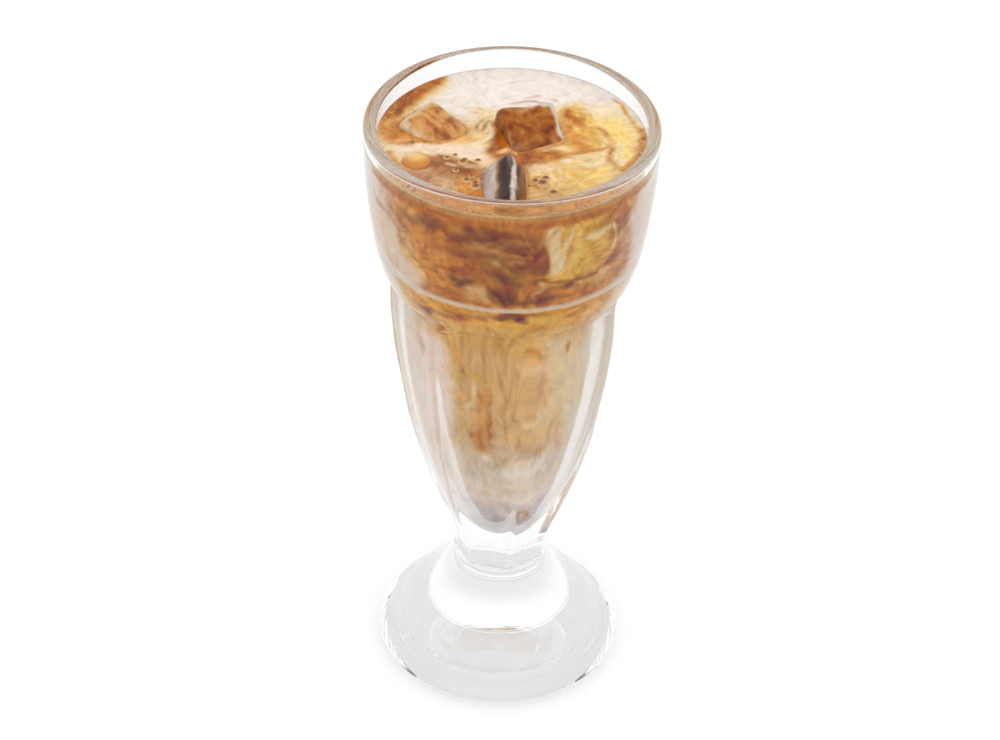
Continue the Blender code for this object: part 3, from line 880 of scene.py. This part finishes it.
@dataclass
class LattePainting:
    """Colours of the marbled drink: heights set the ground, strokes are laid over it, and folds stain all.

    The ground and the sides are (height, tone) up the wall, and the surface is (y, tone); the sides' pale
    tones are a painted reflection of the white room in the glass's slanted edges. The stirring is what the
    shears take: longest and shortest wavelength, count, strain and seed.
    """

    glass: SodaGlass
    level: float
    blocks: list
    ground: tuple = ((46.0, Tone.LILAC_GREY), (58.0, Tone.LILAC_GREY), (70.0, Tone.PINK), (82.0, Tone.BEIGE),
                     (95.0, Tone.LATTE), (110.0, Tone.TAN), (133.0, Tone.TAN), (138.0, Tone.GOLD),
                     (147.0, Tone.AMBER), (154.0, Tone.ORANGE_BROWN), (168.0, Tone.RED_BROWN),
                     (176.0, Tone.ORANGE_BROWN), (181.0, Tone.ORANGE))
    surface: tuple = ((-38.0, Tone.GOLD), (-28.0, Tone.TAN), (-16.0, Tone.SAND), (2.0, Tone.CREAM),
                      (13.0, Tone.FOAM))
    # Pale tones towards the sides and back: a painted reflection of the white surroundings where the glass is
    # seen at a slant.
    sides: tuple = ((50.0, Tone.PINK), (72.0, Tone.FOAM), (100.0, Tone.CREAM), (136.0, Tone.FOAM),
                    (146.0, Tone.FOAM), (164.0, Tone.PEACH), (178.0, Tone.MILK))
    side_from: tuple = (46.0, 72.0)
    side_to: tuple = (152.0, 174.0)
    side_reflection_share: float = 0.95
    stirring: tuple = (18.0, 4.0, 6, 0.34, 14)
    height_wander: float = 3.0
    height_patch: float = 15.0
    turn_wander: float = 9.0
    turn_patch: float = 13.0
    skin: tuple = (0.7, 0.3)
    back: BackStrokes = field(default_factory=BackStrokes)
    softness: float = 1.7
    narrowing: float = 0.55
    folding: Filaments = Filaments(34.0, 6.0, 8, 6.0, 2.6, 0.6, (17, 42, 48))
    neck_of_swirls: float = 139.0
    draw_out: float = 0.8
    fold_rise: tuple = (128.0, 150.0)
    fold_high: float = 0.6
    fold_low: float = 0.65
    pale_from: tuple = (130.0, 210.0)
    pale_fold: float = 0.2
    side_fold: float = 0.06
    calm_top: float = 0.3
    # Round each block a darker ring, out to these nearnesses: partly a film of coffee, partly painted contact
    # shade.
    film: tuple = (1.03, 1.13)
    film_share: float = 0.55
    wall_gloss: float = 0.035
    wall_light: float = 0.765
    top_gloss: float = 0.03
    top_light: float = 0.98
    darkest: float = 0.003
    brightest: float = 0.93

    def radius_at(self, height: np.ndarray) -> np.ndarray:
        """Inner radius of the glass at a height."""
        inside = self.glass.inner_profile()[::-1]
        return np.interp(height, inside[:, 1], inside[:, 0])

    def on_wall(self, places: Points) -> Points:
        """Points on the wall, from (degrees from the front, height)."""
        turn, radius = np.radians(places[:, 0]), self.radius_at(places[:, 1])
        return np.stack([radius * np.sin(turn), -radius * np.cos(turn), places[:, 1]], axis=1)

    def on_top(self, places: Points) -> Points:
        """Points on the surface, from (x, y)."""
        return np.column_stack([places, np.full(len(places), self.level)])

    def topness(self, points: Points) -> np.ndarray:
        """How far points belong to the surface: 0 on the wall, 1 at the level."""
        return smooth_step(points[:, 2], *(self.level - depth for depth in self.skin))

    def folds(self, points: Points) -> np.ndarray:
        """Filaments of -1 to 1 at points, drawn out upwards below the neck of the swirls."""
        below = np.maximum(self.neck_of_swirls - points[:, 2], 0)
        return self.folding.at(points + self.draw_out * below[:, None] * (0, 0, 1))

    def lay(self, colours: Points, points: Points, family: tuple, place: Callable[[Points], Points]) -> None:
        """Blend strokes into the colours near their routes, in order.

        The cover is full within half the width, narrowed towards both ends, and fades over the soft edge.

        Args:
            colours: what is painted on.
            points: one to a colour.
            family: the strokes.
            place: carries a path onto the wall or onto the surface.
        """
        for stroke in family:
            route = place(smooth_curve(stroke.path, per_span=5))
            soft = self.softness * stroke.soft
            reach = stroke.width / 2 + soft
            low, high = route.min(axis=0) - reach, route.max(axis=0) + reach
            inside = np.all((points > low) & (points < high), axis=1)
            near = points[inside]
            best = np.full(len(near), np.inf)
            spans = len(route) - 1
            for number, (start, end) in enumerate(zip(route[:-1], route[1:])):
                along = end - start
                share = np.clip((near - start) @ along / (along @ along + 1e-9), 0, 1)
                apart = np.linalg.norm(near - start - share[:, None] * along, axis=1)
                from_middle = np.abs(2 * (number + share) / spans - 1)
                best = np.minimum(best, apart - stroke.width / 2 * (1 - self.narrowing * from_middle ** 4))
            cover = stroke.strength * (1 - smooth_step(best, -soft / 2, soft / 2))
            colours[inside] = towards(colours[inside], stroke.tone.screen, cover)

    def tones(self, points: Points) -> Points:
        """Colours of the drink at points, from the ground up to the darker ring beside the ice, partly a film
        of coffee and partly painted shade.

        Args:
            points: array of (n, 3).

        Returns:
            One colour to a point.
        """
        pushed = sheared(points, *self.stirring)
        top = self.topness(points)
        height = pushed[:, 2] + self.height_wander * lattice_noise(points / self.height_patch, seed=61)
        colours = towards(blended(height, self.ground), blended(pushed[:, 1], self.surface), top)
        turn = np.degrees(np.abs(np.arctan2(pushed[:, 0], -pushed[:, 1])))
        turn += self.turn_wander * lattice_noise(points * (1, 1, 0.5) / self.turn_patch, seed=72)
        # Painted reflection: the wall turns pale towards the sides.
        side = self.side_reflection_share * smooth_step(turn, *self.side_from) * (1 - smooth_step(turn, *self.side_to))
        side *= 1 - top
        colours = towards(colours, blended(pushed[:, 2], self.sides), side)
        self.lay(colours, pushed, (*self.back.make(), *WALL_GROUND, *WALL_STROKES), self.on_wall)
        self.lay(colours, pushed, TOP_STROKES, self.on_top)
        thick = 1 - smooth_step(colours @ BRIGHTNESS, *self.pale_from)
        amount = self.fold_low + (self.fold_high - self.fold_low) * smooth_step(points[:, 2], *self.fold_rise)
        amount = amount * (self.pale_fold + (1 - self.pale_fold) * thick) + self.side_fold * side
        colours = stained(colours, self.folds(points), amount * (1 - self.calm_top * top))
        self.lay(colours, points, WALL_LINES, self.on_wall)
        self.lay(colours, points, TOP_LINES, self.on_top)
        # A darker ring round each block's waterline: partly a film of coffee, partly painted contact shade.
        for block in self.blocks:
            beside = 1 - smooth_step(block.nearness(points), *self.film)
            colours = towards(colours, Tone.ORANGE_BROWN.screen, self.film_share * top * beside)
        return colours

    def paint(self, points: Points) -> Points:
        """Linear colours of the drink at points.

        A tone is the colour that shows, so the share that gloss adds is taken off, and the rest is
        divided by the light that reaches the surface. What is too bright is dimmed in all three bands alike.

        Args:
            points: array of (n, 3).

        Returns:
            One linear colour to a point.
        """
        top = self.topness(points)[:, None]
        gloss = self.wall_gloss + top * (self.top_gloss - self.wall_gloss)
        light = self.wall_light + top * (self.top_light - self.wall_light)
        linear = np.maximum((to_linear(self.tones(points)) - gloss) / light, self.darkest)
        return linear / np.maximum(linear.max(axis=1, keepdims=True) / self.brightest, 1.0)


@dataclass(frozen=True)
class WetLatte:
    """Wet opaque drink: the painted tone, folded into fine dark and pale filaments. Lengths are metres."""

    roughness: float = 0.16
    ior: float = 1.34
    wall_ior: float = 0.74
    wall_clear: float = 0.03
    neck_of_swirls: float = 0.139
    draw_out: float = 0.65
    shears: tuple = (
        ((0.6, 0.3, 0.74), (0.74, 0.3, -0.72), 0.015),
        ((-0.5, 0.8, 0.33), (0.33, -0.2, 0.98), 0.010),
        ((0.2, -0.5, 0.84), (0.9, 0.4, 0.02), 0.0066),
        ((0.9, 0.1, -0.42), (0.3, 0.6, 0.79), 0.0045),
    )
    strain: float = 0.9
    scale: float = 420.0
    fineness: float = 0.55
    contrast: float = 6.0
    dark_from: float = 2.9
    dark_share: float = 0.8
    coffee: tuple = (0.52, 0.34, 0.2)
    pale_from: float = -3.1
    pale_share: float = 0.7
    milk: tuple = (1.5, 1.55, 1.5)

    def folded(self, desk: NodeDesk) -> Socket:
        """Object coordinates drawn out upwards low down, then carried through the shears.

        Each shear adds its second direction times the sine of the place along its first one.

        Args:
            desk: the material's nodes.

        Returns:
            The carried coordinates.
        """
        split = desk.add("SeparateXYZ", {0: desk.place()}).outputs
        below = desk.math("MAXIMUM", desk.math("SUBTRACT", self.neck_of_swirls, split[2]), 0.0)
        height = desk.math("MULTIPLY_ADD", below, self.draw_out, split[2])
        place = desk.add("CombineXYZ", {0: split[0], 1: split[1], 2: height}).outputs[0]
        for across, along, length in self.shears:
            turns = 2 * math.pi / length
            reach = desk.add("VectorMath", {0: place, 1: tuple(turns * part for part in across)},
                             operation="DOT_PRODUCT").outputs["Value"]
            push = tuple(self.strain / turns * part for part in along)
            place = desk.add("VectorMath", {0: push, 1: desk.math("SINE", reach), 2: place},
                             operation="MULTIPLY_ADD").outputs[0]
        return place

    def make(self) -> bpy.types.Material:
        """Build the material.

        Seen from within the glass at a glancing angle, the wall of the drink reflects totally, because
        the drink bends light less than the glass does.

        Returns:
            The material.
        """
        desk = NodeDesk(bpy.data.materials.new("wet_latte"))
        fine = desk.noise(self.folded(desk), self.scale, roughness=self.fineness)
        tone = desk.attribute("tone", "Color")
        light = desk.add("RGBToBW", {0: tone}).outputs[0]
        coffee = desk.math("SUBTRACT", 1.0, light, clamped=True)
        below = desk.math("MULTIPLY_ADD", fine, -self.contrast, self.dark_from, clamped=True)
        above = desk.math("MULTIPLY_ADD", fine, self.contrast, self.pale_from, clamped=True)
        dark = desk.math("MULTIPLY", below, desk.math("MULTIPLY", coffee, self.dark_share))
        pale = desk.math("MULTIPLY", above, desk.math("MULTIPLY", coffee, self.pale_share))
        colour = desk.multiplied(pale, desk.multiplied(dark, tone, self.coffee), self.milk)
        bounce = desk.add("Fresnel", {"IOR": self.wall_ior}).outputs[0]
        bounce = desk.math("SUBTRACT", bounce, self.wall_clear)
        mirror = desk.math("MULTIPLY", bounce, desk.attribute("wall", "Fac"), clamped=True)
        desk.set(Base_Color=desk.mix(mirror, colour, (1.0, 1.0, 1.0)), Metallic=mirror,
                 Roughness=self.roughness, IOR=self.ior)
        return desk.owner


@dataclass
class LatteDrink:
    """The drink: its surface, then its wall a little way into the glass, as one closed turned grid.

    The mirror is (height, share) of the total reflection that the wall shows, and a swirl is (arms,
    winding, start) of a sine round the surface.
    """

    level: float
    glass: SodaGlass
    painting: LattePainting
    reach: float = 0.15
    columns: int = 424
    rings: int = 62
    row: float = 0.62
    low_row: float = 1.0
    low_from: float = 138.0
    mirror: tuple = ((48, 0.6), (120, 0.6), (134, 0.3), (138, 0), (148, 0), (152, 1), (181, 1))
    wall_radius: float = 37.9
    meniscus: float = 0.5
    meniscus_power: int = 8
    swirl: float = 0.35
    swirls: tuple = ((3, 5, 0.0), (2, -7, 1.0))
    finish: WetLatte = field(default_factory=WetLatte)

    def profile(self) -> Points:
        """Rings of the surface from the middle out, then the wall down to the bottom, set into the glass.

        Returns:
            Array of (radius, height).
        """
        inside = self.glass.inner_profile()
        top = np.interp(self.level, inside[::-1, 1], inside[::-1, 0])
        wall = np.vstack([(top, self.level), inside[inside[:, 1] < self.level - 0.2]])
        lengths = np.concatenate([[0], np.cumsum(np.linalg.norm(np.diff(wall, axis=0), axis=1))])
        split, end = np.interp(self.low_from, wall[::-1, 1], lengths[::-1]), lengths[-1]
        even = np.concatenate([np.linspace(0, split, int(split / self.row), endpoint=False),
                               np.linspace(split, end, int((end - split) / self.low_row))])
        wall = np.stack([np.interp(even, lengths, column) for column in wall.T], axis=1)
        along = np.gradient(wall, axis=0)
        along /= np.linalg.norm(along, axis=1)[:, None]
        wall[1:-1] += self.reach * np.stack([-along[:, 1], along[:, 0]], axis=1)[1:-1]
        wall[0] += (self.reach, 0.0)
        rings = np.linspace(0, wall[0, 0], self.rings, endpoint=False)[1:]
        return np.vstack([np.stack([rings, np.full_like(rings, self.level)], axis=1), wall[:-1]])

    def lift(self, x: np.ndarray, y: np.ndarray) -> np.ndarray:
        """Rise of the surface: two slow swirls that fade at the middle and the wall, and the meniscus.

        Args:
            x: places to the right.
            y: places to the back.

        Returns:
            One rise to a place.
        """
        angle = np.arctan2(y, x)
        outwards = np.hypot(x, y) / self.wall_radius
        swirl = sum(np.sin(arms * angle + wind * outwards + start) for arms, wind, start in self.swirls)
        fade = outwards * (1 - outwards ** 2)
        return self.swirl * swirl * fade + self.meniscus * outwards ** self.meniscus_power

    def build(self, group: Group) -> Piece:
        """Make the drink and keep the tone of each of its points.

        Args:
            group: collection that takes it.

        Returns:
            The dressed piece.
        """
        profile = self.profile()
        grid = around(profile[:, :1], profile[:, 1:], full_turn(self.columns))
        bottom = self.glass.inside[-1][1] - self.reach
        points = np.vstack([grid.reshape(-1, 3), (0, 0, self.level), (0, 0, bottom)])
        colours = self.painting.paint(points)
        on_top = points[:, 2] > self.level - 0.01
        points[on_top, 2] += self.lift(points[on_top, 0], points[on_top, 1])
        piece = new_mesh("latte", points * MM, turned_faces(len(grid), self.columns), group)
        store_tone(piece, colours)
        store_value(piece, "wall", np.where(on_top, 0.0, np.interp(points[:, 2], *np.array(self.mirror).T)))
        piece.data.materials.append(self.finish.make())
        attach(piece, BODY)
        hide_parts("drink")
        return piece


@dataclass(frozen=True)
class CoatedIce:
    """Wet ice with a film of coffee: the painted tone under a clear gloss."""

    roughness: float = 0.06
    ior: float = 1.31
    clear_share: float = 0.3
    ripple_scale: float = 260.0
    ripple_strength: float = 0.4
    ripple_height: float = 0.0004
    film: tuple = ((0.3, (0.72, 0.64, 0.58)), (0.5, (1.0, 1.0, 1.0)), (0.72, (1.1, 1.08, 1.05)))
    film_share: float = 0.6

    def make(self) -> bpy.types.Material:
        """Build the material.

        Returns:
            The material.
        """
        desk = NodeDesk(bpy.data.materials.new("coated_ice"))
        ripple = desk.noise(desk.place(), self.ripple_scale, distortion=1.2)
        tone = desk.attribute("tone", "Color")
        desk.set(Base_Color=desk.multiplied(self.film_share, tone, desk.ramp(ripple, self.film)),
                 Roughness=self.roughness, IOR=self.ior, Transmission_Weight=self.clear_share)
        desk.bump(ripple, self.ripple_strength, self.ripple_height)
        return desk.owner


@dataclass
class IceBlock:
    """A melted block that floats: a rounded box with dished faces and slow waves.

    The sides are (x from the middle, tone), and mist is (share, size, seed) of each noise that breaks up
    the edges between tones.
    """

    name: str
    size: tuple
    squareness: float
    centre: tuple
    turns: tuple
    top: Tone
    sides: tuple
    # edge is the tone of the painted highlight along the block's edges.
    edge: Tone
    up: tuple = (0.45, 0.8)
    lit: tuple = (0.0, 1.0)
    unlit: float = 0.15
    lit_span: tuple = (-0.15, 0.45)
    stain: float = 0.5
    # Painted highlight: the edge tone is laid along the edges, most where they face the way of the painted
    # light.
    highlight_strength: float = 0.85
    highlit_edges: tuple = (0.7, 0.95)
    steps: int = 40
    dish: float = 0.07
    wave: float = 0.035
    wave_turns: tuple = (3.1, 2.7, 2.1)
    wave_start: float = 1.3
    mist: tuple = ((0.25, 4.0, 71), (0.12, 1.7, 77))
    side_mist: float = 2.0
    up_mist: float = 0.5
    highlight_mist: float = 0.6
    folding: Filaments = Filaments(14.0, 4.0, 6, 3.4, 1.5, 0.5, (71, 73, 79))
    finish: CoatedIce = field(default_factory=CoatedIce)

    def turn(self) -> np.ndarray:
        """Turn of the block, about X, then Y, then Z."""
        return np.array(Euler([math.radians(angle) for angle in self.turns]).to_matrix())

    def cube(self) -> tuple[Points, np.ndarray]:
        """A cube of side 2, each face a grid, with the points of its edges shared.

        Returns:
            The points, and the quads as vertex numbers.
        """
        width = self.steps + 1
        line = np.linspace(-1, 1, width)
        first, second = (plane.ravel() for plane in np.meshgrid(line, line, indexing="ij"))
        cell = np.arange(self.steps * width).reshape(self.steps, -1)[:, :-1].ravel()
        quad = np.stack([cell, cell + width, cell + width + 1, cell + 1], axis=1)
        points, faces = [], []
        for axis in range(3):
            for side in (1, -1):
                face = np.roll(np.stack([np.full_like(first, side), first, second], axis=1), axis, axis=1)
                faces.append(quad[:, ::side] + len(points) * width ** 2)
                points.append(face)
        joined, places = np.unique(np.round(np.concatenate(points), 6), axis=0, return_inverse=True)
        return joined, places.ravel()[np.concatenate(faces)]

    def norm(self, local: Points) -> np.ndarray:
        """The p-norm of points in the block's own axes, where 1 is its rounded surface."""
        return np.sum(np.abs(local) ** self.squareness, axis=1) ** (1 / self.squareness)

    def nearness(self, points: Points) -> np.ndarray:
        """How near points are to the block: 1 on its surface, more outside."""
        return self.norm((points - np.array(self.centre)) @ self.turn() / (np.array(self.size) / 2))

    def build(self, group: Group) -> Piece:
        """Make the block.

        A cube's point is divided by its own p-norm, dished by the product of one less the squares of its
        two smaller coordinates, waved by two sines, then turned and set in its place.

        Args:
            group: collection that takes it.

        Returns:
            The dressed piece.
        """
        cube, faces = self.cube()
        x, y, z = (cube * self.wave_turns).T
        least, middle, _ = np.sort(np.abs(cube), axis=1).T
        dish = self.dish * (1 - least ** 2) * (1 - middle ** 2)
        wave = self.wave * np.sin(x + self.wave_start) * np.sin(y + z)
        local = cube * ((1 - dish + wave) / self.norm(cube))[:, None] * np.array(self.size) / 2
        points = local @ self.turn().T + np.array(self.centre)
        piece = new_mesh(self.name, points * MM, [faces], group)
        store_tone(piece, self.paint(cube @ self.turn().T, points, middle))
        piece.data.materials.append(self.finish.make())
        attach(piece, BODY)
        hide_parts(self.name.replace("frozen_", ""))
        return piece

    def paint(self, outwards: Points, points: Points, edge: np.ndarray) -> Points:
        """Tones by which way a face looks, with pale painted highlights along the edges, strongest where they
        face the painted light.

        Args:
            outwards: the way that each point's face looks.
            points: array of (n, 3).
            edge: 0 at the middle of a face, 1 at its edges.

        Returns:
            One linear colour to a point.
        """
        facing = outwards / np.linalg.norm(outwards, axis=1)[:, None]
        mist = sum(share * lattice_noise(points / size, seed) for share, size, seed in self.mist)
        colours = blended(points[:, 0] - self.centre[0] + self.side_mist * mist, self.sides)
        up = smooth_step(facing[:, 2] + self.up_mist * mist, *self.up)
        colours = towards(colours, self.top.screen, up)
        colours = stained(colours, self.folding.at(points), self.stain)
        # Painted highlight along the edges, weighted by how far they face the painted light.
        light = smooth_step(facing[:, :2] @ np.array(self.lit), *self.lit_span)
        highlit_edges = self.highlight_strength * (self.unlit + (1 - self.unlit) * light)
        highlit_edges = highlit_edges * smooth_step(edge + self.highlight_mist * mist, *self.highlit_edges)
        return to_linear(towards(colours, self.edge.screen, highlit_edges))


@dataclass(frozen=True)
class BubbleFilm:
    """A bubble's wet film: the painted tone under gloss."""

    roughness: float = 0.05
    ior: float = 1.33
    ripple_scale: float = 500.0
    ripple_strength: float = 0.15
    ripple_height: float = 0.0002

    def make(self) -> bpy.types.Material:
        """Build the material.

        Returns:
            The material.
        """
        desk = NodeDesk(bpy.data.materials.new("bubble_film"))
        desk.set(Base_Color=desk.attribute("tone", "Color"), Roughness=self.roughness, IOR=self.ior)
        desk.bump(desk.noise(desk.place(), self.ripple_scale, 1.0), self.ripple_strength, self.ripple_height)
        return desk.owner


@dataclass
class Bubbles:
    """Domes of froth: a few large ones, clusters beside the ice, and a fine ring against the wall.

    A dome is (x, y, radius, height), and a bubble of a cluster is (x, y, radius).
    """

    drink: LatteDrink
    painting: LattePainting
    domes: tuple = ((-26.2, -12.0, 4.2, 1.9), (-9.6, -23.5, 1.6, 0.9), (-13.4, -11.8, 1.5, 0.9),
                    (8.6, -21.5, 2.0, 1.1), (11.6, -26.0, 1.7, 1.0))
    clusters: tuple = ((-17.8, -9.4, 1.1), (-15.6, -7.9, 0.9), (-13.0, -10.4, 1.2), (-9.3, -10.6, 1.1),
                       (-12.2, -20.2, 1.4), (-9.8, -21.6, 1.3), (-8.0, -20.0, 1.2), (-10.9, -18.4, 0.9),
                       (-15.2, -15.6, 1.0), (6.6, -20.0, 1.3), (9.4, -18.6, 1.5), (4.9, -22.6, 1.0))
    cluster_height: float = 0.4
    wall_ring: int = 230
    ring_radius: float = 37.6
    ring_gap: float = 0.5
    ring_middle: float = -105.0
    ring_spread: float = 55.0
    ring_sizes: tuple = (0.25, 0.75)
    ring_stretch: tuple = (0.6, 1.3)
    ring_height: float = 0.7
    sunk: float = 0.12
    seed: int = 5
    # A painted highlight is laid on the side of each dome that faces the painted light.
    lit: tuple = (-0.7, 0.6, 0.3)
    lit_span: tuple = (0.5, 0.95)
    painted_highlight: float = 0.75
    # The heart is darkened and set towards the back: partly the darker drink within, partly painted shade.
    heart_darkening: float = 0.6
    heart_back: float = 0.12
    heart_span: tuple = (0.3, 0.95)
    cap_depth: float = 0.1
    columns: int = 20
    rows: int = 7
    finish: BubbleFilm = field(default_factory=BubbleFilm)

    def places(self) -> tuple[Points, Points]:
        """Places and sizes of all domes, those of the ring drawn from a seed.

        Returns:
            Centres as (x, y, z), and sizes as (radius, radius, height).
        """
        draw = np.random.default_rng(self.seed)
        turn = np.radians(draw.normal(self.ring_middle, self.ring_spread, self.wall_ring))
        small = draw.uniform(*self.ring_sizes, self.wall_ring)
        small *= draw.uniform(*self.ring_stretch, self.wall_ring)
        out = self.ring_radius - small - draw.exponential(self.ring_gap, self.wall_ring)
        ring = np.stack([out * np.cos(turn), out * np.sin(turn), small, small * self.ring_height], axis=1)
        clusters = [(x, y, size, size * self.cluster_height) for x, y, size in self.clusters]
        x, y, size, height = np.vstack([self.domes, clusters, ring]).T
        base = self.drink.level + self.drink.lift(x, y) - self.sunk
        return np.stack([x, y, base], axis=1), np.stack([size, size, height], axis=1)

    def dome(self) -> Points:
        """A dome of radius and height 1: (cos rise, sin rise) turned, a cap point and one just below.

        Returns:
            Its points, the top row first.
        """
        climb = np.linspace(0, np.pi / 2, self.rows + 1)[-2::-1, None]
        rows = around(np.cos(climb), np.sin(climb), full_turn(self.columns))
        return np.vstack([rows.reshape(-1, 3), (0, 0, 1), (0, 0, -self.cap_depth)])

    def paint(self, shape: Points, centres: Points) -> Points:
        """Tones of each dome: its rim, its heart set towards the back, and a painted highlight on the lit
        side.

        Args:
            shape: points of one dome.
            centres: places of all domes.

        Returns:
            Linear colours, dome by dome.
        """
        level = np.full(len(centres), self.drink.level)
        under = self.painting.tones(np.column_stack([centres[:, :2], level]))
        rim = stained(under, np.ones(len(under)), 1.0)
        heart = stained(under, -np.ones(len(under)), self.heart_darkening)
        froth = slice(1, len(self.domes) + len(self.clusters))
        rim[froth], heart[froth] = Tone.TAN.value, Tone.DARK.value
        rim[0], heart[0] = Tone.ORANGE.value, Tone.HONEY.value
        # The heart is set towards the back, partly as painted shade inside the dome.
        from_heart = np.hypot(shape[:, 0], shape[:, 1] - self.heart_back)
        middle = 1 - smooth_step(from_heart, *self.heart_span)
        colours = rim[:, None, :] + middle[None, :, None] * (heart - rim)[:, None, :]
        # Painted highlight on the side that faces the painted light.
        lit = self.painted_highlight * smooth_step(shape @ np.array(self.lit), *self.lit_span)
        colours += lit[None, :, None] * (Tone.CREAM.screen - colours)
        return to_linear(colours.reshape(-1, 3))

    def build(self, group: Group) -> Piece:
        """Make all domes as one joined mesh.

        Args:
            group: collection that takes it.

        Returns:
            The dressed piece.
        """
        centres, sizes = self.places()
        shape = self.dome()
        points = (centres[:, None, :] + shape * sizes[:, None, :]).reshape(-1, 3)
        shift = np.arange(len(centres))[:, None, None] * len(shape)
        faces = [(block + shift).reshape(-1, block.shape[1])
                 for block in turned_faces(self.rows, self.columns)]
        piece = new_mesh("froth_bubbles", points * MM, faces, group)
        store_tone(piece, self.paint(shape, centres))
        piece.data.materials.append(self.finish.make())
        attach(piece, BODY)
        return piece


@dataclass
class Studio:
    """White floor, soft light from all round and above, and the camera at the photograph's angle.

    Lengths are metres, angles are degrees, and the sky is (sine of the height above the horizon, light).
    """

    floor_side: float = 8.0
    floor_gap: float = 0.0002
    floor_grey: float = 0.5
    floor_glow: float = 0.5
    light_bounces: int = 32
    distance: float = 0.9018
    elevation: float = 37.042
    roll: float = 1.641
    target: tuple = (-0.0015, 0.0, 0.10105)
    lens: float = 110.45
    sensor: float = 36.0
    sky: tuple = ((0.0, 0.74), (0.12, 0.78), (0.45, 1.0), (1.0, 1.12))
    front_light: float = 0.8
    front_slope: float = -1.6
    front_start: float = -0.5

    def build(self, group: Group) -> None:
        """Make the stage, the world and the camera.

        Args:
            group: collection that takes the floor.
        """
        corners = np.array([(-1, -1, 0), (1, -1, 0), (1, 1, 0), (-1, 1, 0)]) * self.floor_side / 2
        corners -= (0, 0, self.floor_gap)
        floor = new_mesh("studio_floor", corners, [np.array([[0, 1, 2, 3]])], group)
        desk = NodeDesk(bpy.data.materials.new("matt_white_floor"))
        desk.set(Base_Color=(self.floor_grey,) * 3, Roughness=1.0, Specular_IOR_Level=0.0,
                 Emission_Color=(1.0, 1.0, 1.0), Emission_Strength=self.floor_glow)
        floor.data.materials.append(desk.owner)
        self.light_world()
        self.place_camera()

    def light_world(self) -> None:
        """Soft white light, brighter overhead than near the horizon, and brighter at the front."""
        desk = NodeDesk(bpy.data.worlds.new("soft_white"))
        way = desk.add("SeparateXYZ", {0: desk.add("TexCoord").outputs["Generated"]}).outputs
        front = desk.math("MULTIPLY_ADD", way["Y"], self.front_slope, self.front_start, clamped=True)
        desk.set(Color=desk.ramp(way["Z"], tuple((place, (light,) * 3) for place, light in self.sky)),
                 Strength=desk.math("MULTIPLY_ADD", front, self.front_light, 1.0))
        bpy.context.scene.world = desk.owner
        cycles = bpy.context.scene.cycles
        cycles.max_bounces = cycles.transmission_bounces = cycles.glossy_bounces = self.light_bounces

    def place_camera(self) -> None:
        """Stand the camera off the target at its elevation, with the photograph's slight roll."""
        tilt, turn = math.radians(self.elevation), math.radians(self.roll)
        forward = Vector((0.0, math.cos(tilt), -math.sin(tilt)))
        right = Vector((1.0, 0.0, 0.0))
        up = right.cross(forward)
        across = math.cos(turn) * right + math.sin(turn) * up
        upward = -math.sin(turn) * right + math.cos(turn) * up
        axes = Matrix((across, upward, -forward)).transposed().to_4x4()
        camera = bpy.data.objects.new("camera", bpy.data.cameras.new("camera"))
        camera.data.lens = self.lens
        camera.data.sensor_width = self.sensor
        camera.data.sensor_fit = "HORIZONTAL"
        camera.matrix_world = Matrix.Translation(Vector(self.target) - self.distance * forward) @ axes
        bpy.context.scene.collection.objects.link(camera)
        bpy.context.scene.camera = camera
        bpy.context.scene.view_settings.view_transform = "Standard"


def ice_blocks() -> list[IceBlock]:
    """The three blocks that reach out of the drink."""
    return [
        IceBlock("frozen_ice_right", (17.5, 18.0, 16.0), 7, (4.6, 5.4, 176.6), (25.0, 3.0, 22.0),
                 top=Tone.BURNT_AMBER, sides=((0, Tone.RED_BROWN), (6, Tone.ORANGE_BROWN)), edge=Tone.FOAM,
                 lit=(0.75, 0.65), stain=0.9, highlight_strength=0.95),
        IceBlock("frozen_ice_left", (15.5, 17.5, 14.0), 3.8, (-22.4, 6.2, 176.8), (17.0, -8.6, 48.0),
                 top=Tone.APRICOT, sides=((-4, Tone.PEACH), (2, Tone.APRICOT)), edge=Tone.CREAM,
                 lit=(-0.8, 0.5), stain=0.8, highlight_strength=0.95, highlit_edges=(0.6, 0.95)),
        # The shard's pale grey left face is a painted reflection of the white surroundings, and its narrow
        # milk band a painted highlight along the ridge.
        IceBlock("frozen_ice_front", (13.0, 18.6, 13.0), 9, (-1.2, -23.7, 177.8), (10.0, 53.0, 13.0),
                 top=Tone.MAUVE,
                 sides=((-6.6, Tone.MAUVE), (-5.0, Tone.VIOLET), (-3.4, Tone.PINK), (-1.8, Tone.ESPRESSO),
                        (-0.6, Tone.BLACK_BROWN), (0.9, Tone.BLACK_BROWN), (1.6, Tone.MILK),
                        (2.3, Tone.MILK), (3.0, Tone.ESPRESSO), (5, Tone.MAUVE_BROWN)),
                 edge=Tone.PINK, lit=(-0.3, 0.9), up=(2.0, 3.0), stain=0.35, highlight_strength=0.5),
    ]


def main() -> None:
    """Build every piece in order and report each."""
    logging.basicConfig(level=logging.INFO, format="%(name)s: %(message)s")
    group = bpy.data.collections.new("iced_latte_looks")
    bpy.context.scene.collection.children.link(group)
    glass = SodaGlass(height=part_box("glass")[1][2] / MM)
    LOG.info("glass: %d faces", len(glass.build(group).data.polygons))
    blocks = ice_blocks()
    painting = LattePainting(glass, LEVEL, blocks)
    drink = LatteDrink(LEVEL, glass, painting)
    LOG.info("drink: %d faces", len(drink.build(group).data.polygons))
    for block in blocks:
        LOG.info("%s: %d faces", block.name, len(block.build(group).data.polygons))
    LOG.info("bubbles: %d faces", len(Bubbles(drink, painting).build(group).data.polygons))
    Studio().build(group)


if __name__ == "__main__":
    main()
